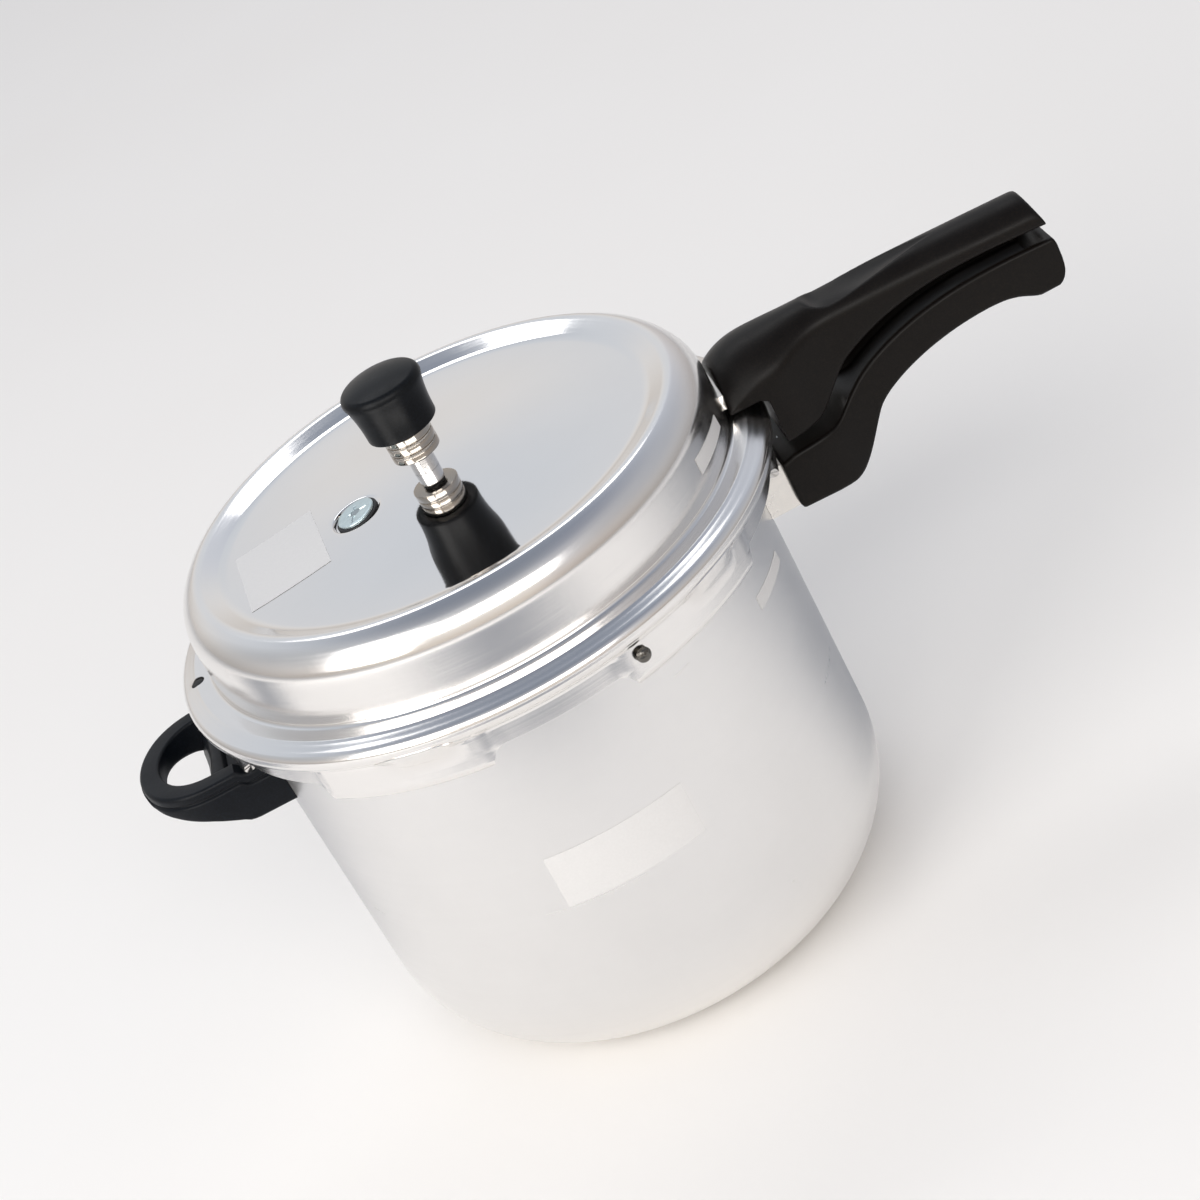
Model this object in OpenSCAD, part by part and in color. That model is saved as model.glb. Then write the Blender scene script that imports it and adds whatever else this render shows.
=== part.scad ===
// Stovetop pressure cooker with an outer bayonet lid, a weight valve on a vent tube,
// a safety plug, a two-part main handle and a loop handle opposite.
// Origin: centre of the pot's flat base. +Z up, +X along the main handle. Millimetres.

/* [Pot] */
// Outer diameter of the drawn pot
pot_d = 220; // [200:1:240]
// Height of the pot's rim above the base
pot_h = 190.3; // [175:0.1:215]
// Wall of the pot
pot_wall = 3.2; // [2:0.1:4.5]
// Thickness of the pot's base
pot_base = 4; // [2.5:0.1:7]
// Outer radius of the corner between wall and base
pot_corner_r = 50; // [35:1:60]
// How far the rolled rim stands out from the wall
rim_out = 2.6; // [1.8:0.1:2.9]
// Height of the rolled rim
rim_h = 4.8; // [3:0.1:6]

/* [Bayonet] */
// Number of bayonet lugs on the lid and on the pot
lug_n = 6; // [4:1:6]
// Width of one pot lug round the axis, degrees
pot_lug_deg = 24.3; // [20:0.1:25]
// How far a pot lug stands out from the wall
pot_lug_out = 6.4; // [5.6:0.1:6.6]
// Height of a pot lug's hooked edge
pot_lug_h = 11.1; // [9:0.1:12]
// Sheet thickness of a pot lug
pot_lug_t = 2.8; // [2:0.1:3.4]
// Width of one lid lug round the axis, degrees
lid_lug_deg = 32.4; // [29:0.1:34]
// Angle of the lid lug nearest the main handle
lug_phase = 2.3; // [0:0.1:6]
// Axial play between the lid lips and the pot lugs
lug_play = 1.4; // [0.6:0.1:2]
// Radial reach of a lid lip under the pot lugs
lip_reach = 3; // [2:0.1:3.4]

/* [Lid] */
// Sheet thickness of the lid
lid_t = 2.6; // [2:0.1:3]
// Width of the ledge at the foot of the raised tier
ledge_w = 7.5; // [6:0.1:9]
// Height of the tier's straight wall
tier_wall_h = 17.5; // [12:0.1:26]
// Outer radius of the rounded shoulder
shoulder_r = 16.6; // [12:0.1:20]
// Radius of the crest round the sunk panel
crest_r = 5; // [3.5:0.1:6]
// Depth of the panel's edge below the crest
panel_sink = 4.2; // [2:0.1:5]
// Rise of the panel's centre above its edge
dome_h = 4.6; // [3:0.1:5.5]
// Radius of the hollow where the panel turns up
panel_fillet = 10; // [3:0.5:12]
// Slope of the ring between the crest and the panel, degrees
panel_slope = 26; // [20:1:40]
// Width of the band between the ledge and the rolled edge
band_w = 7.5; // [6:0.1:9]
// How far the rolled edge stands out from the skirt
roll_out = 7; // [6:0.1:9]
// Radius of the rolled edge
roll_r = 4.2; // [3.6:0.1:5]
// Slope of the band between the ledge and the rolled edge, degrees
band_slope = 22; // [14:1:26]
// Radial gap between the pot's lugs and the skirt
skirt_gap = 0.8; // [0.6:0.1:1.5]
// Drop from the ledge to the crease above the skirt
crease_drop = 12.6; // [12:0.1:14]
// Height of the skirt below the crease
skirt_h = 8.1; // [6:0.1:9]
// How far the lid lugs stand out from the skirt
lug_step = 2.2; // [1.6:0.1:3]
// Diameter of the gasket release hole
release_d = 5.8; // [4:0.1:7]

/* [Gasket] */
// Height of the rubber gasket
gasket_h = 5.1; // [4:0.1:7]
// Gap between the gasket and its seats
gasket_gap = 0.3; // [0.1:0.05:0.5]

/* [Vent and weight] */
// Outer diameter of the vent tube's lower stem
stem_d = 10.4; // [9:0.1:13]
// Height of the lower stem above the panel
stem_h = 5.8; // [4:0.1:9]
// Outer diameter of the vent tube's upper part
tube_d = 7; // [6:0.1:8]
// Height of the upper part above the stem
tube_h = 13.5; // [10:0.1:16]
// Outer diameter of the seal between the stem and the weight
vent_seal_d = 9.3; // [8.6:0.1:12]
// Height of the seal between the stem and the weight
vent_seal_h = 2; // [1.2:0.1:3]
// Bore of the vent tube
vent_bore_d = 3; // [2:0.1:4]
// Diameter of the threaded tail under the lid
tail_d = 8.4; // [7.4:0.1:8.6]
// Outer diameter of the weight's steel collar
collar_d = 19.6; // [17:0.1:24]
// Height of the steel collar below the cap
collar_h = 12.2; // [10:0.1:18]
// Diameter of the cap at its lower edge
cap_low_d = 28.6; // [26:0.1:32]
// Largest diameter of the cap
cap_d = 33.3; // [31:0.1:40]
// Height of the cap up to its largest diameter
cap_flare_h = 18.1; // [14:0.1:26]
// Height of the cap's crown above its largest diameter
cap_crown_h = 5.3; // [3.4:0.1:8]
// Diameter of the valve pin inside the weight
pin_d = 6; // [5:0.1:6.6]
// Running clearance of the weight on its pin, radial
pin_play = 0.06; // [0.02:0.01:0.1]

/* [Safety plug] */
// Distance of the safety plug from the lid's centre
plug_x = 32; // [30:0.5:50]
// Angle of the plug round the lid, from the main handle
plug_a = 187; // [150:1:210]
// Outward tilt of the plug's seat, degrees
plug_tilt = 9; // [3:0.5:9]
// Depth of the plug's seat below the panel
plug_sink = 1.2; // [1:0.1:1.5]
// Diameter of the plug's head
plug_d = 16.2; // [13:0.1:18]
// Diameter of the rubber ring under the head
plug_ring_d = 18.4; // [16.6:0.1:20]
// Diameter of the plug's shank
plug_shank_d = 9; // [7:0.1:11]
// Diameter of the fusible core
plug_core_d = 4; // [3:0.1:5]

/* [Main handle] */
// Length of the main handle beyond the lid's edge
grip_l = 127.3; // [108:0.1:165]
// Width of the grips
grip_w = 26.5; // [22:0.1:32]
// Width of the handle roots
root_w = 43; // [38:0.1:45]
// Height of the upper handle's top above the ledge
handle_top = 20.8; // [18:0.1:24]
// Radius of the crown across the upper handle's top
crown_r = 24; // [22.5:0.5:40]
// Length of the thumb recess in the upper handle
recess_l = 52; // [36:1:64]
// Depth of the thumb recess
recess_t = 3; // [1.5:0.1:4]
// Thickness of the upper grip
upper_grip_t = 12.9; // [11:0.1:15]
// Gap between the upper and the lower grip
grip_gap = 7.7; // [5:0.1:10]
// Thickness of the lower grip
lower_grip_t = 15.8; // [12:0.1:18]
// Drop from the lower grip's underside to the bottom of its root
root_drop = 34.2; // [30:0.1:40]

/* [Helper handle] */
// Reach of the helper handle beyond the lid's edge
helper_out = 33.7; // [26:0.1:48]
// Width of the helper handle
helper_w = 66; // [58:0.5:76]
// Width of the loop's bar
helper_bar = 10.3; // [8:0.1:13]
// Thickness of the loop at its tip
helper_t = 9.5; // [8:0.1:12]
// Height of the helper handle's root
helper_root_h = 21.5; // [19:0.1:25]
// How far the root's outer face stands out from the lid's edge
helper_root_out = 6.2; // [4:0.1:9]

/* [Brackets and fasteners] */
// Sheet thickness of the brackets
bracket_t = 2; // [1.5:0.1:2.4]
// Width of the lid bracket's plate
lid_bracket_w = 32; // [28:0.5:34]
// Width of the lid bracket's tongue
lid_tongue_w = 10.4; // [9:0.1:14]
// Width of the helper bracket's plate
helper_bracket_w = 46; // [40:0.5:50]
// Width of the helper bracket's tongue
helper_tongue_w = 18; // [14:0.5:20]
// Shank diameter of the rivets
rivet_d = 5; // [4:0.1:5.6]
// Head diameter of the rivets
rivet_head_d = 8.6; // [7.5:0.1:9.4]
// Shank diameter of the lid bracket's rivets
lid_rivet_d = 3.6; // [3:0.1:4]
// Head diameter of the lid bracket's rivets
lid_rivet_head_d = 5.8; // [5.2:0.1:6.2]
// Shank diameter of the handle screws
screw_d = 5; // [4:0.1:6]
// Head diameter of the handle screws
screw_head_d = 9; // [8:0.1:11]
// Clearance of screws and rivets in their holes, radial
hole_play = 0.15; // [0.05:0.05:0.3]
// Gap between seated pieces
seat_gap = 0.1; // [0.05:0.05:0.2]
// Diameter of the stop rivet on the lid
stop_d = 6; // [5:0.1:7]

/* [Hidden] */
$fn = 96;

e = 0.01;
// radii, counted out from the pot's wall
pot_r = pot_d / 2;
skirt_in = pot_r + pot_lug_out + skirt_gap;
skirt_r = skirt_in + lid_t;
lid_lug_r = skirt_r + lug_step;
lid_r = skirt_r + roll_out;
ledge_r = lid_r - band_w;
tier_r = ledge_r - ledge_w;
handle_reach = lid_r + grip_l;
helper_reach = lid_r + helper_out;
helper_root_x = lid_r + helper_root_out;
// heights of the lid, counted up from the pot's rim
ceil_z = pot_h + 2 * gasket_gap + gasket_h;
ledge_z = ceil_z + lid_t;
wall_top_z = ledge_z + tier_wall_h;
shoulder_c = tier_r - shoulder_r;
crest_a = 90 - panel_slope;
crest_c = [shoulder_c + (shoulder_r - crest_r) * cos(crest_a),
    wall_top_z + (shoulder_r - crest_r) * sin(crest_a)];
crest_z = crest_c[1] + crest_r;
panel_z = crest_z - panel_sink;
slope_top = [crest_c[0] - crest_r * sin(panel_slope), crest_c[1] + crest_r * cos(panel_slope)];
panel_r = slope_top[0] - (slope_top[1] - panel_z) / tan(panel_slope);
fillet_x = panel_r - panel_fillet * tan(panel_slope / 2);
dome_n = 8;
roll_c = [lid_r - roll_r, ledge_z - (lid_r - roll_r - ledge_r) * tan(band_slope)
    - roll_r / cos(band_slope)];
crease_z = ledge_z - crease_drop;
skirt_z = crease_z - skirt_h;
// bayonet heights
rim_z = pot_h - rim_h;
lug_top_z = rim_z;
lug_low_z = lug_top_z - pot_lug_h;
lip_top_z = lug_low_z - lug_play;
lip_z = lip_top_z - lid_t;
lip_r = pot_r + pot_lug_out - lip_reach;
lug_roll = 4;
stop_a = -360 / lug_n + lug_phase - pot_lug_deg / 2 - 1.15;
stop_z = lug_top_z - 3.7;
// vent and weight heights
stem_top_z = panel_z + dome_h + stem_h;
tube_top_z = stem_top_z + tube_h;
weight_z = stem_top_z + vent_seal_h + seat_gap;
cap_z = weight_z + collar_h;
under_z = panel_z - lid_t;
nut_af = 15;
nut_h = 5;
// plug sizes along its own axis, counted from its seat
plug_seat_z = panel_z + dome_at(plug_x) - plug_sink;
plug_ring_h = 1;
plug_head_h = 1.1;
plug_nut_z = plug_sink - lid_t - (nut_af / 2 + 1.2) * sin(plug_tilt) / 2 - seat_gap - nut_h;
// main handle heights
h_top = ledge_z + handle_top;
u_low = h_top - upper_grip_t;
l_top = u_low - grip_gap;
l_low = l_top - lower_grip_t;
root_z = l_low - root_drop;
root_top_z = lip_z + 0.2;
u_root_z = lip_z + 11;
notch_x = lid_r + 0.6;
front_x = tier_r + 1.9;
recess_x = front_x + 66;
recess_r = 30;
low_front_x = lid_lug_r - 1;
lid_screw_x = notch_x + 7;
body_screw_x = low_front_x + 9;
// helper heights
helper_z = root_top_z + 0.8;
helper_low = helper_z - helper_root_h;
helper_screw_x = pot_r + 12;
cheek_w = root_w - 9;

// rise of the domed panel at radius r
function dome_at(r) = dome_h * pow(cos(90 * r / fillet_x), 2);

// points of an arc round c, from angle a to angle b
function arc(c, r, a, b, n = 8) =
    [for (i = [0:n]) let (t = a + (b - a) * i / n) [c[0] + r * cos(t), c[1] + r * sin(t)]];

// points of a smooth curve from a to d, leaving towards b and arriving from c, without its first point
function curve(a, b, c, d, n = 8) =
    [for (i = [1:n]) let (t = i / n, u = 1 - t)
        u * u * u * a + 3 * u * u * t * b + 3 * u * t * t * c + t * t * t * d];

// wedges of angle w at n places round the axis
module wedges(w, r, z0, z1, ph) {
    for (i = [0:lug_n - 1])
        rotate([0, 0, ph + i * 360 / lug_n])
            translate([0, 0, z0])
                linear_extrude(z1 - z0)
                    polygon([[0, 0], for (k = [0:4]) let (t = -w / 2 + w * k / 4)
                        [r * cos(t), r * sin(t)]]);
}

// a headed rivet along +X, shank from x0 to x1, flat head inside, domed head outside
module rivet(x0, x1, d, hd) {
    dome = hd * 0.28;
    rotate([0, 90, 0]) {
        translate([0, 0, x0 - 1.6]) cylinder(d = hd, h = 1.6);
        translate([0, 0, x0 - e]) cylinder(d = d, h = x1 - x0 + 2 * e);
        translate([0, 0, x1]) rotate_extrude()
            polygon([[0, 0], [hd / 2, 0], for (i = [0:6]) let (t = i * 15)
                [hd / 2 * cos(t), dome * sin(t)]]);
    }
}

// a cap screw along +Z: head below z = 0, shank above
module screw(d, hd, hh, len) {
    difference() {
        union() {
            translate([0, 0, -hh]) cylinder(d = hd, h = hh);
            translate([0, 0, -e]) cylinder(d = d, h = len + e);
        }
        translate([0, 0, -hh - e]) cylinder(d = hd * 0.45, h = hh * 0.55, $fn = 6);
    }
}

// ---------------------------------------------------------------- pot

module pot_profile() {
    ri = pot_r - pot_wall;
    rc = pot_corner_r;
    ric = rc - pot_wall;
    polygon(concat(
        [[0, 0]],
        arc([pot_r - rc, rc], rc, -90, 0, 12),
        [[pot_r, pot_h - 0.8], [pot_r - 0.8, pot_h], [ri + 0.8, pot_h], [ri, pot_h - 0.8]],
        arc([ri - ric, pot_base + ric], ric, 0, -90, 12),
        [[0, pot_base]]));
}

module rim_profile() {
    polygon([[pot_r - 1, rim_z - 1], [pot_r + rim_out - 1, rim_z], [pot_r + rim_out, rim_z + 1],
        [pot_r + rim_out, pot_h - 0.8], [pot_r + rim_out - 0.8, pot_h], [pot_r - 1, pot_h]]);
}

module pot_lug_profile() {
    ro = pot_r + pot_lug_out;
    polygon([[pot_r - 1, lug_top_z - pot_lug_t], [ro - pot_lug_t, lug_top_z - pot_lug_t],
        [ro - pot_lug_t, lug_low_z], [ro, lug_low_z], [ro, lug_top_z - 1.5], [ro - 1.5, lug_top_z],
        [pot_r - 1, lug_top_z + 0.8]]);
}

module body_pot() {
    color("gainsboro")
    difference() {
        union() {
            rotate_extrude() pot_profile();
            rotate_extrude() rim_profile();
            intersection() {
                rotate_extrude() pot_lug_profile();
                wedges(pot_lug_deg, pot_r + 20, lug_low_z - 2, lug_top_z + 2, lug_phase);
            }
        }
        body_rivet_places() translate([pot_r - pot_wall - 2, 0, 0]) rotate([0, 90, 0])
            cylinder(d = rivet_d + 2 * hole_play, h = pot_wall + 4);
        helper_rivet_places() translate([pot_r - pot_wall - 2, 0, 0]) rotate([0, 90, 0])
            cylinder(d = rivet_d + 2 * hole_play, h = pot_wall + 4);
    }
}

// ---------------------------------------------------------------- body handle

plate_low = root_z + 0.6;
plate_top = lip_z - 1.2;
plate_mid = (plate_low + plate_top) / 2;

module body_rivet_places() {
    for (a = [-4.6, 4.6]) rotate([0, 0, a]) translate([0, 0, plate_mid]) children();
}

module curved_plate(r0, t, half_w, z0, z1) {
    intersection() {
        difference() {
            translate([0, 0, z0]) cylinder(r = r0 + t, h = z1 - z0);
            translate([0, 0, z0 - 1]) cylinder(r = r0, h = z1 - z0 + 2);
        }
        translate([0, -half_w, z0]) cube([r0 + t + 5, 2 * half_w, z1 - z0]);
    }
}

module body_bracket() {
    hw = cheek_w / 2;
    r0 = pot_r + seat_gap;
    x1 = body_screw_x + 8;
    xin = sqrt(r0 * r0 - hw * hw) + 0.4;
    color("silver")
    difference() {
        union() {
            curved_plate(r0, bracket_t, hw, plate_low, plate_top);
            for (s = [-1, 1])
                translate([xin, s > 0 ? hw - bracket_t : -hw, plate_low])
                    cube([x1 - xin, bracket_t, plate_top - plate_low]);
            difference() {
                translate([r0 - 8, -hw, plate_top - bracket_t]) cube([x1 - r0 + 8, 2 * hw, bracket_t]);
                translate([0, 0, plate_top - 10]) cylinder(r = r0, h = 20);
            }
        }
        body_rivet_places() translate([pot_r - 2, 0, 0]) rotate([0, 90, 0])
            cylinder(d = rivet_d + 2 * hole_play, h = 10);
        translate([body_screw_x, 0, plate_top - 10])
            cylinder(d = screw_d + 2 * hole_play, h = 20);
    }
}

module body_bracket_rivets() {
    color("lightgray")
        body_rivet_places() rivet(pot_r - pot_wall - seat_gap, pot_r + bracket_t + 2 * seat_gap,
            rivet_d, rivet_head_d);
}

// side outline of the lower handle, from the root's underside to the hooked end and back
module body_handle_side() {
    x0 = low_front_x;
    xe = handle_reach;
    rz = root_z;
    rt = root_top_z;
    a = [x0 + 24, rz - 0.8];
    b = [x0 + 46, rz + 19.5];
    c = [xe - 33.5, l_low + 0.8];
    d = [x0 + 25, rt + 2.8];
    m = [x0 + 38, l_top - 17.6];
    polygon(concat(
        [[x0, rz + 2], [x0 + 2, rz], a],
        curve(a, a + [9, 0], b - [6, 7], b, 8),
        curve(b, b + [7, 7], c - [26, 0], c, 8),
        curve(c, c + [13, 0], [xe - 18.5, l_low - 3.4], [xe - 13, l_low - 4.8], 5),
        [[xe - 5, l_low - 4.8], [xe - 2.4, l_low - 2.8], [xe - 0.5, l_low + 1.4], [xe, l_low + 6],
            [xe, l_top - 3], [xe - 1.4, l_top - 0.6]],
        curve([xe - 1.4, l_top - 0.6], [xe - 22, l_top + 0.4], [xe - 65.5, l_top + 4.4], m, 10),
        curve(m, m - [6, 4], d + [4, 0.8], d, 5),
        [[x0 + 1.5, rt], [x0, rt - 1.5]]));
}

// plan outline shared by both main handles
module handle_plan(x0, xe) {
    r = root_w / 2;
    g = grip_w / 2;
    side = concat([[x0 - 4, -r], [x0 + 16, -r]],
        curve([x0 + 16, -r], [x0 + 28, -r], [x0 + 32, -g], [x0 + 48, -g], 8),
        [[xe - 3, -g - 0.4], [xe - 0.8, -g + 0.8], [xe, -g + 3]]);
    polygon(concat(side, [for (i = [len(side) - 1:-1:0]) [side[i][0], -side[i][1]]]));
}

module body_handle() {
    hw = cheek_w / 2;
    c = 0.2;
    color("#1c1714")
    difference() {
        intersection() {
            rotate([90, 0, 0]) translate([0, 0, -40]) linear_extrude(80) body_handle_side();
            translate([0, 0, root_z - 5]) linear_extrude(120) handle_plan(low_front_x, handle_reach);
        }
        // slot for the bracket's channel
        difference() {
            translate([low_front_x - 5, -hw - c, plate_low - c])
                cube([body_screw_x + 8.3 - low_front_x + 5, 2 * (hw + c), plate_top - plate_low + 2 * c]);
            translate([low_front_x - 6, -hw + bracket_t + c, plate_low - 2])
                cube([60, 2 * (hw - bracket_t - c), plate_top - bracket_t - plate_low + 2 - c]);
        }
        translate([body_screw_x, 0, root_z - 2])
            cylinder(d = screw_head_d + 2 * hole_play, h = 6.2);
        translate([body_screw_x, 0, root_z])
            cylinder(d = screw_d + 2 * hole_play, h = plate_top - root_z);
        translate([body_screw_x, 0, plate_top])
            cylinder(d = 9.4, h = 3.2 + 4, $fn = 6);
    }
}

module body_handle_screw() {
    color("silver")
        translate([body_screw_x, 0, root_z + 4.2 - seat_gap])
            screw(screw_d, screw_head_d, 3.2, plate_top - root_z - 4.2 + 3);
}

module hex_nut(d, af, h) {
    difference() {
        cylinder(d = af / cos(30), h = h, $fn = 6);
        translate([0, 0, -1]) cylinder(d = d + 2 * hole_play, h = h + 2);
    }
}

module body_handle_nut() {
    color("silver") translate([body_screw_x, 0, plate_top + seat_gap]) hex_nut(screw_d, 8, 2.6);
}

// ---------------------------------------------------------------- helper handle

helper_plate_low = helper_low + 4;
helper_plate_top = lip_z - 3;
tongue_z = helper_low + 12;
tongue_t = bracket_t;

module helper_rivet_places() {
    for (a = [-8, 8]) rotate([0, 0, 180 + a])
        translate([0, 0, (helper_plate_low + helper_plate_top) / 2]) children();
}

module helper_bracket() {
    r0 = pot_r + seat_gap;
    color("silver")
    rotate([0, 0, 180])
    difference() {
        union() {
            curved_plate(r0, bracket_t, helper_bracket_w / 2, helper_plate_low, helper_plate_top);
            difference() {
                translate([r0 - 3, -helper_tongue_w / 2, tongue_z])
                    cube([helper_screw_x + 7 - r0 + 3, helper_tongue_w, tongue_t]);
                translate([0, 0, tongue_z - 5]) cylinder(r = r0, h = 20);
            }
        }
        for (a = [-8, 8]) rotate([0, 0, a])
            translate([pot_r - 2, 0, (helper_plate_low + helper_plate_top) / 2])
                rotate([0, 90, 0]) cylinder(d = rivet_d + 2 * hole_play, h = 10);
        translate([helper_screw_x, 0, tongue_z - 5]) cylinder(d = screw_d + 2 * hole_play, h = 20);
    }
}

module helper_bracket_rivets() {
    color("lightgray")
        helper_rivet_places() rivet(pot_r - pot_wall - seat_gap, pot_r + bracket_t + 2 * seat_gap,
            rivet_d, rivet_head_d);
}

// plan of the loop: straight sides at the root, an oval end
module loop_plan(inset) {
    hw = helper_w / 2 - inset;
    xe = helper_reach - inset;
    xs = helper_root_x - 4;
    polygon(concat([[pot_r - 15, -hw], [xs, -hw]],
        [for (i = [1:19]) let (t = -90 + 9 * i)
            [xs + (xe - xs) * pow(cos(t), 0.82), hw * sin(t)]],
        [[xs, hw], [pot_r - 15, hw]]));
}

module helper_handle() {
    top = helper_z;
    gap = 0.3;
    color("#161b20")
    rotate([0, 0, 180])
    difference() {
        intersection() {
            translate([0, 0, helper_low]) linear_extrude(helper_root_h) loop_plan(0);
            rotate([90, 0, 0]) translate([0, 0, -50]) linear_extrude(100)
                polygon([[pot_r - 15, helper_low], [pot_r + 13, helper_low],
                    [pot_r + 16, helper_low + 1], [pot_r + 28, top - helper_t - 6.4],
                    [helper_reach - 8, top - helper_t - 0.4], [helper_reach - 3, top - helper_t + 2],
                    [helper_reach, top - helper_t + 5], [helper_reach, top - 3],
                    [helper_reach - 2, top - 0.6], [helper_reach - 4, top], [pot_r - 15, top]]);
        }
        // finger hole
        translate([0, 0, helper_low - 5]) linear_extrude(helper_root_h + 10)
            intersection() {
                loop_plan(helper_bar);
                translate([helper_root_x, -60]) square([60, 120]);
            }
        // pot wall and bracket
        translate([0, 0, helper_low - 5]) cylinder(r = pot_r + gap, h = 60);
        intersection() {
            translate([0, 0, helper_low - 5]) cylinder(r = pot_r + bracket_t + seat_gap + gap, h = 60);
            translate([0, -helper_bracket_w / 2 - 0.4, helper_low - 5])
                cube([pot_r + 20, helper_bracket_w + 0.8, 60]);
        }
        // room for the rivet heads
        for (a = [-8, 8]) rotate([0, 0, a])
            translate([pot_r - 2, 0, (helper_plate_low + helper_plate_top) / 2])
                rotate([0, 90, 0]) cylinder(d = rivet_head_d + 1, h = 8.2);
        // step under the lid's lugs
        translate([0, 0, lip_z - 1.4]) cylinder(r = lid_lug_r + 1.6, h = 20);
        // open top over the tongue, for the nut
        translate([pot_r - 5, -helper_tongue_w / 2 - 0.3, tongue_z - 0.2])
            cube([helper_screw_x + 7.3 - pot_r + 5, helper_tongue_w + 0.6, 40]);
        translate([helper_screw_x, 0, helper_low - 2]) cylinder(d = screw_head_d + 2 * hole_play, h = 6);
        translate([helper_screw_x, 0, helper_low - 1]) cylinder(d = screw_d + 2 * hole_play, h = 30);
    }
}

module helper_screw() {
    color("silver")
        translate([-helper_screw_x, 0, helper_low + 4 - seat_gap])
            screw(screw_d, screw_head_d, 3, tongue_z + tongue_t - helper_low - 4 + 4);
}

module helper_nut() {
    color("silver")
        translate([-helper_screw_x, 0, tongue_z + tongue_t + seat_gap]) hex_nut(screw_d, 8, 2.8);
}

// ---------------------------------------------------------------- gasket

gasket_in = pot_r - pot_wall + 0.8;
gasket_out = roll_c[0] - 0.4;

module gasket() {
    z0 = pot_h + gasket_gap;
    z1 = z0 + gasket_h;
    ro = gasket_out;
    color("#2a2a2c")
        rotate_extrude()
            polygon([[gasket_in, z0], [ro - 1, z0], [ro, z0 + 1], [ro, z0 + gasket_h * 0.5],
                [ledge_r - 1.4, z1], [gasket_in, z1]]);
}

// ---------------------------------------------------------------- lid

module lid_profile() {
    b = band_slope;
    ca = crest_a;
    fo = 2;
    polygon(concat(
        // outside, from the axis outward
        [for (i = [0:dome_n - 1]) let (r = fillet_x * i / dome_n) [r, panel_z + dome_at(r)]],
        arc([fillet_x, panel_z + panel_fillet], panel_fillet, -90, panel_slope - 90, 4),
        arc(crest_c, crest_r, 90 + panel_slope, ca, 6),
        arc([shoulder_c, wall_top_z], shoulder_r, ca, 0, 8),
        arc([tier_r + fo, ledge_z + fo], fo, 180, 270, 4),
        [[ledge_r, ledge_z]],
        arc(roll_c, roll_r, 90 - b, -62, 8),
        [[skirt_r + 0.7, crease_z + 0.5], [skirt_r, crease_z - 0.4], [skirt_r, skirt_z + 0.6],
            [skirt_r - 0.6, skirt_z]],
        // inside, back to the axis
        [[skirt_in, skirt_z], [skirt_in, crease_z + 0.2]],
        arc(roll_c, roll_r - lid_t, -50, 90 - b, 6),
        [[ledge_r - lid_t * tan(b / 2), ceil_z]],
        [[tier_r - lid_t, ceil_z]],
        arc([shoulder_c, wall_top_z], shoulder_r - lid_t, 0, ca, 7),
        arc(crest_c, crest_r - lid_t, ca, 90 + panel_slope, 4),
        arc([fillet_x, panel_z + panel_fillet], panel_fillet + lid_t, panel_slope - 90, -90, 4),
        [for (i = [dome_n - 1:-1:0]) let (r = fillet_x * i / dome_n) [r, under_z + dome_at(r)]]));
}

module lid_lug_profile() {
    c = [lid_lug_r - lug_roll, lip_z + lug_roll];
    polygon(concat(
        [[skirt_in + 0.6, skirt_z + 4], [skirt_in + 0.6, crease_z + 1.6],
            [roll_c[0] + roll_r * cos(-50), roll_c[1] - roll_r * sin(50)],
            [lid_lug_r + 1.2, crease_z + 1], [lid_lug_r, skirt_z + 2]],
        arc(c, lug_roll, 0, -90, 5),
        [[lip_r + 0.8, lip_z], [lip_r, lip_z + 0.8], [lip_r, lip_top_z]],
        arc(c, lug_roll - lid_t, -90, 0, 3),
        [[c[0] + lug_roll - lid_t, skirt_z + 2]]));
}

module lid_shell() {
    color("gainsboro")
    difference() {
        union() {
            rotate_extrude() lid_profile();
            intersection() {
                rotate_extrude() lid_lug_profile();
                wedges(lid_lug_deg, lid_r + 20, lip_z - 2, crease_z + 4, lug_phase);
            }
        }
        // seat and hole of the plug
        at_plug() rotate_extrude()
            polygon([[0, -8], [plug_shank_d / 2 + hole_play, -8], [plug_shank_d / 2 + hole_play, 0],
                [plug_ring_d / 2 + 0.8, 0], [plug_ring_d / 2 + 0.8, 9], [0, 9]]);
        // holes for the vent, the release, the rivets and the stop
        translate([0, 0, under_z - 5]) cylinder(d = tail_d + 2 * hole_play, h = 20);
        translate([-ledge_r, 0, ceil_z - 6]) cylinder(d = release_d, h = 20);
        lid_rivet_places() translate([tier_r - lid_t - 2, 0, 0]) rotate([0, 90, 0])
            cylinder(d = lid_rivet_d + 2 * hole_play, h = lid_t + 4);
        rotate([0, 0, stop_a]) translate([skirt_in - 3, 0, stop_z]) rotate([0, 90, 0])
            cylinder(d = stop_d * 0.62 + 2 * hole_play, h = 14);
    }
}

// ---------------------------------------------------------------- lid handle

lid_plate_low = ledge_z + 2.6;
lid_plate_top = ledge_z + 8.4;
lid_tongue_z = ledge_z + 4.4;

module lid_rivet_places() {
    for (a = [-5.2, 5.2]) rotate([0, 0, a])
        translate([0, 0, (lid_plate_low + lid_plate_top) / 2 ]) children();
}

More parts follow.
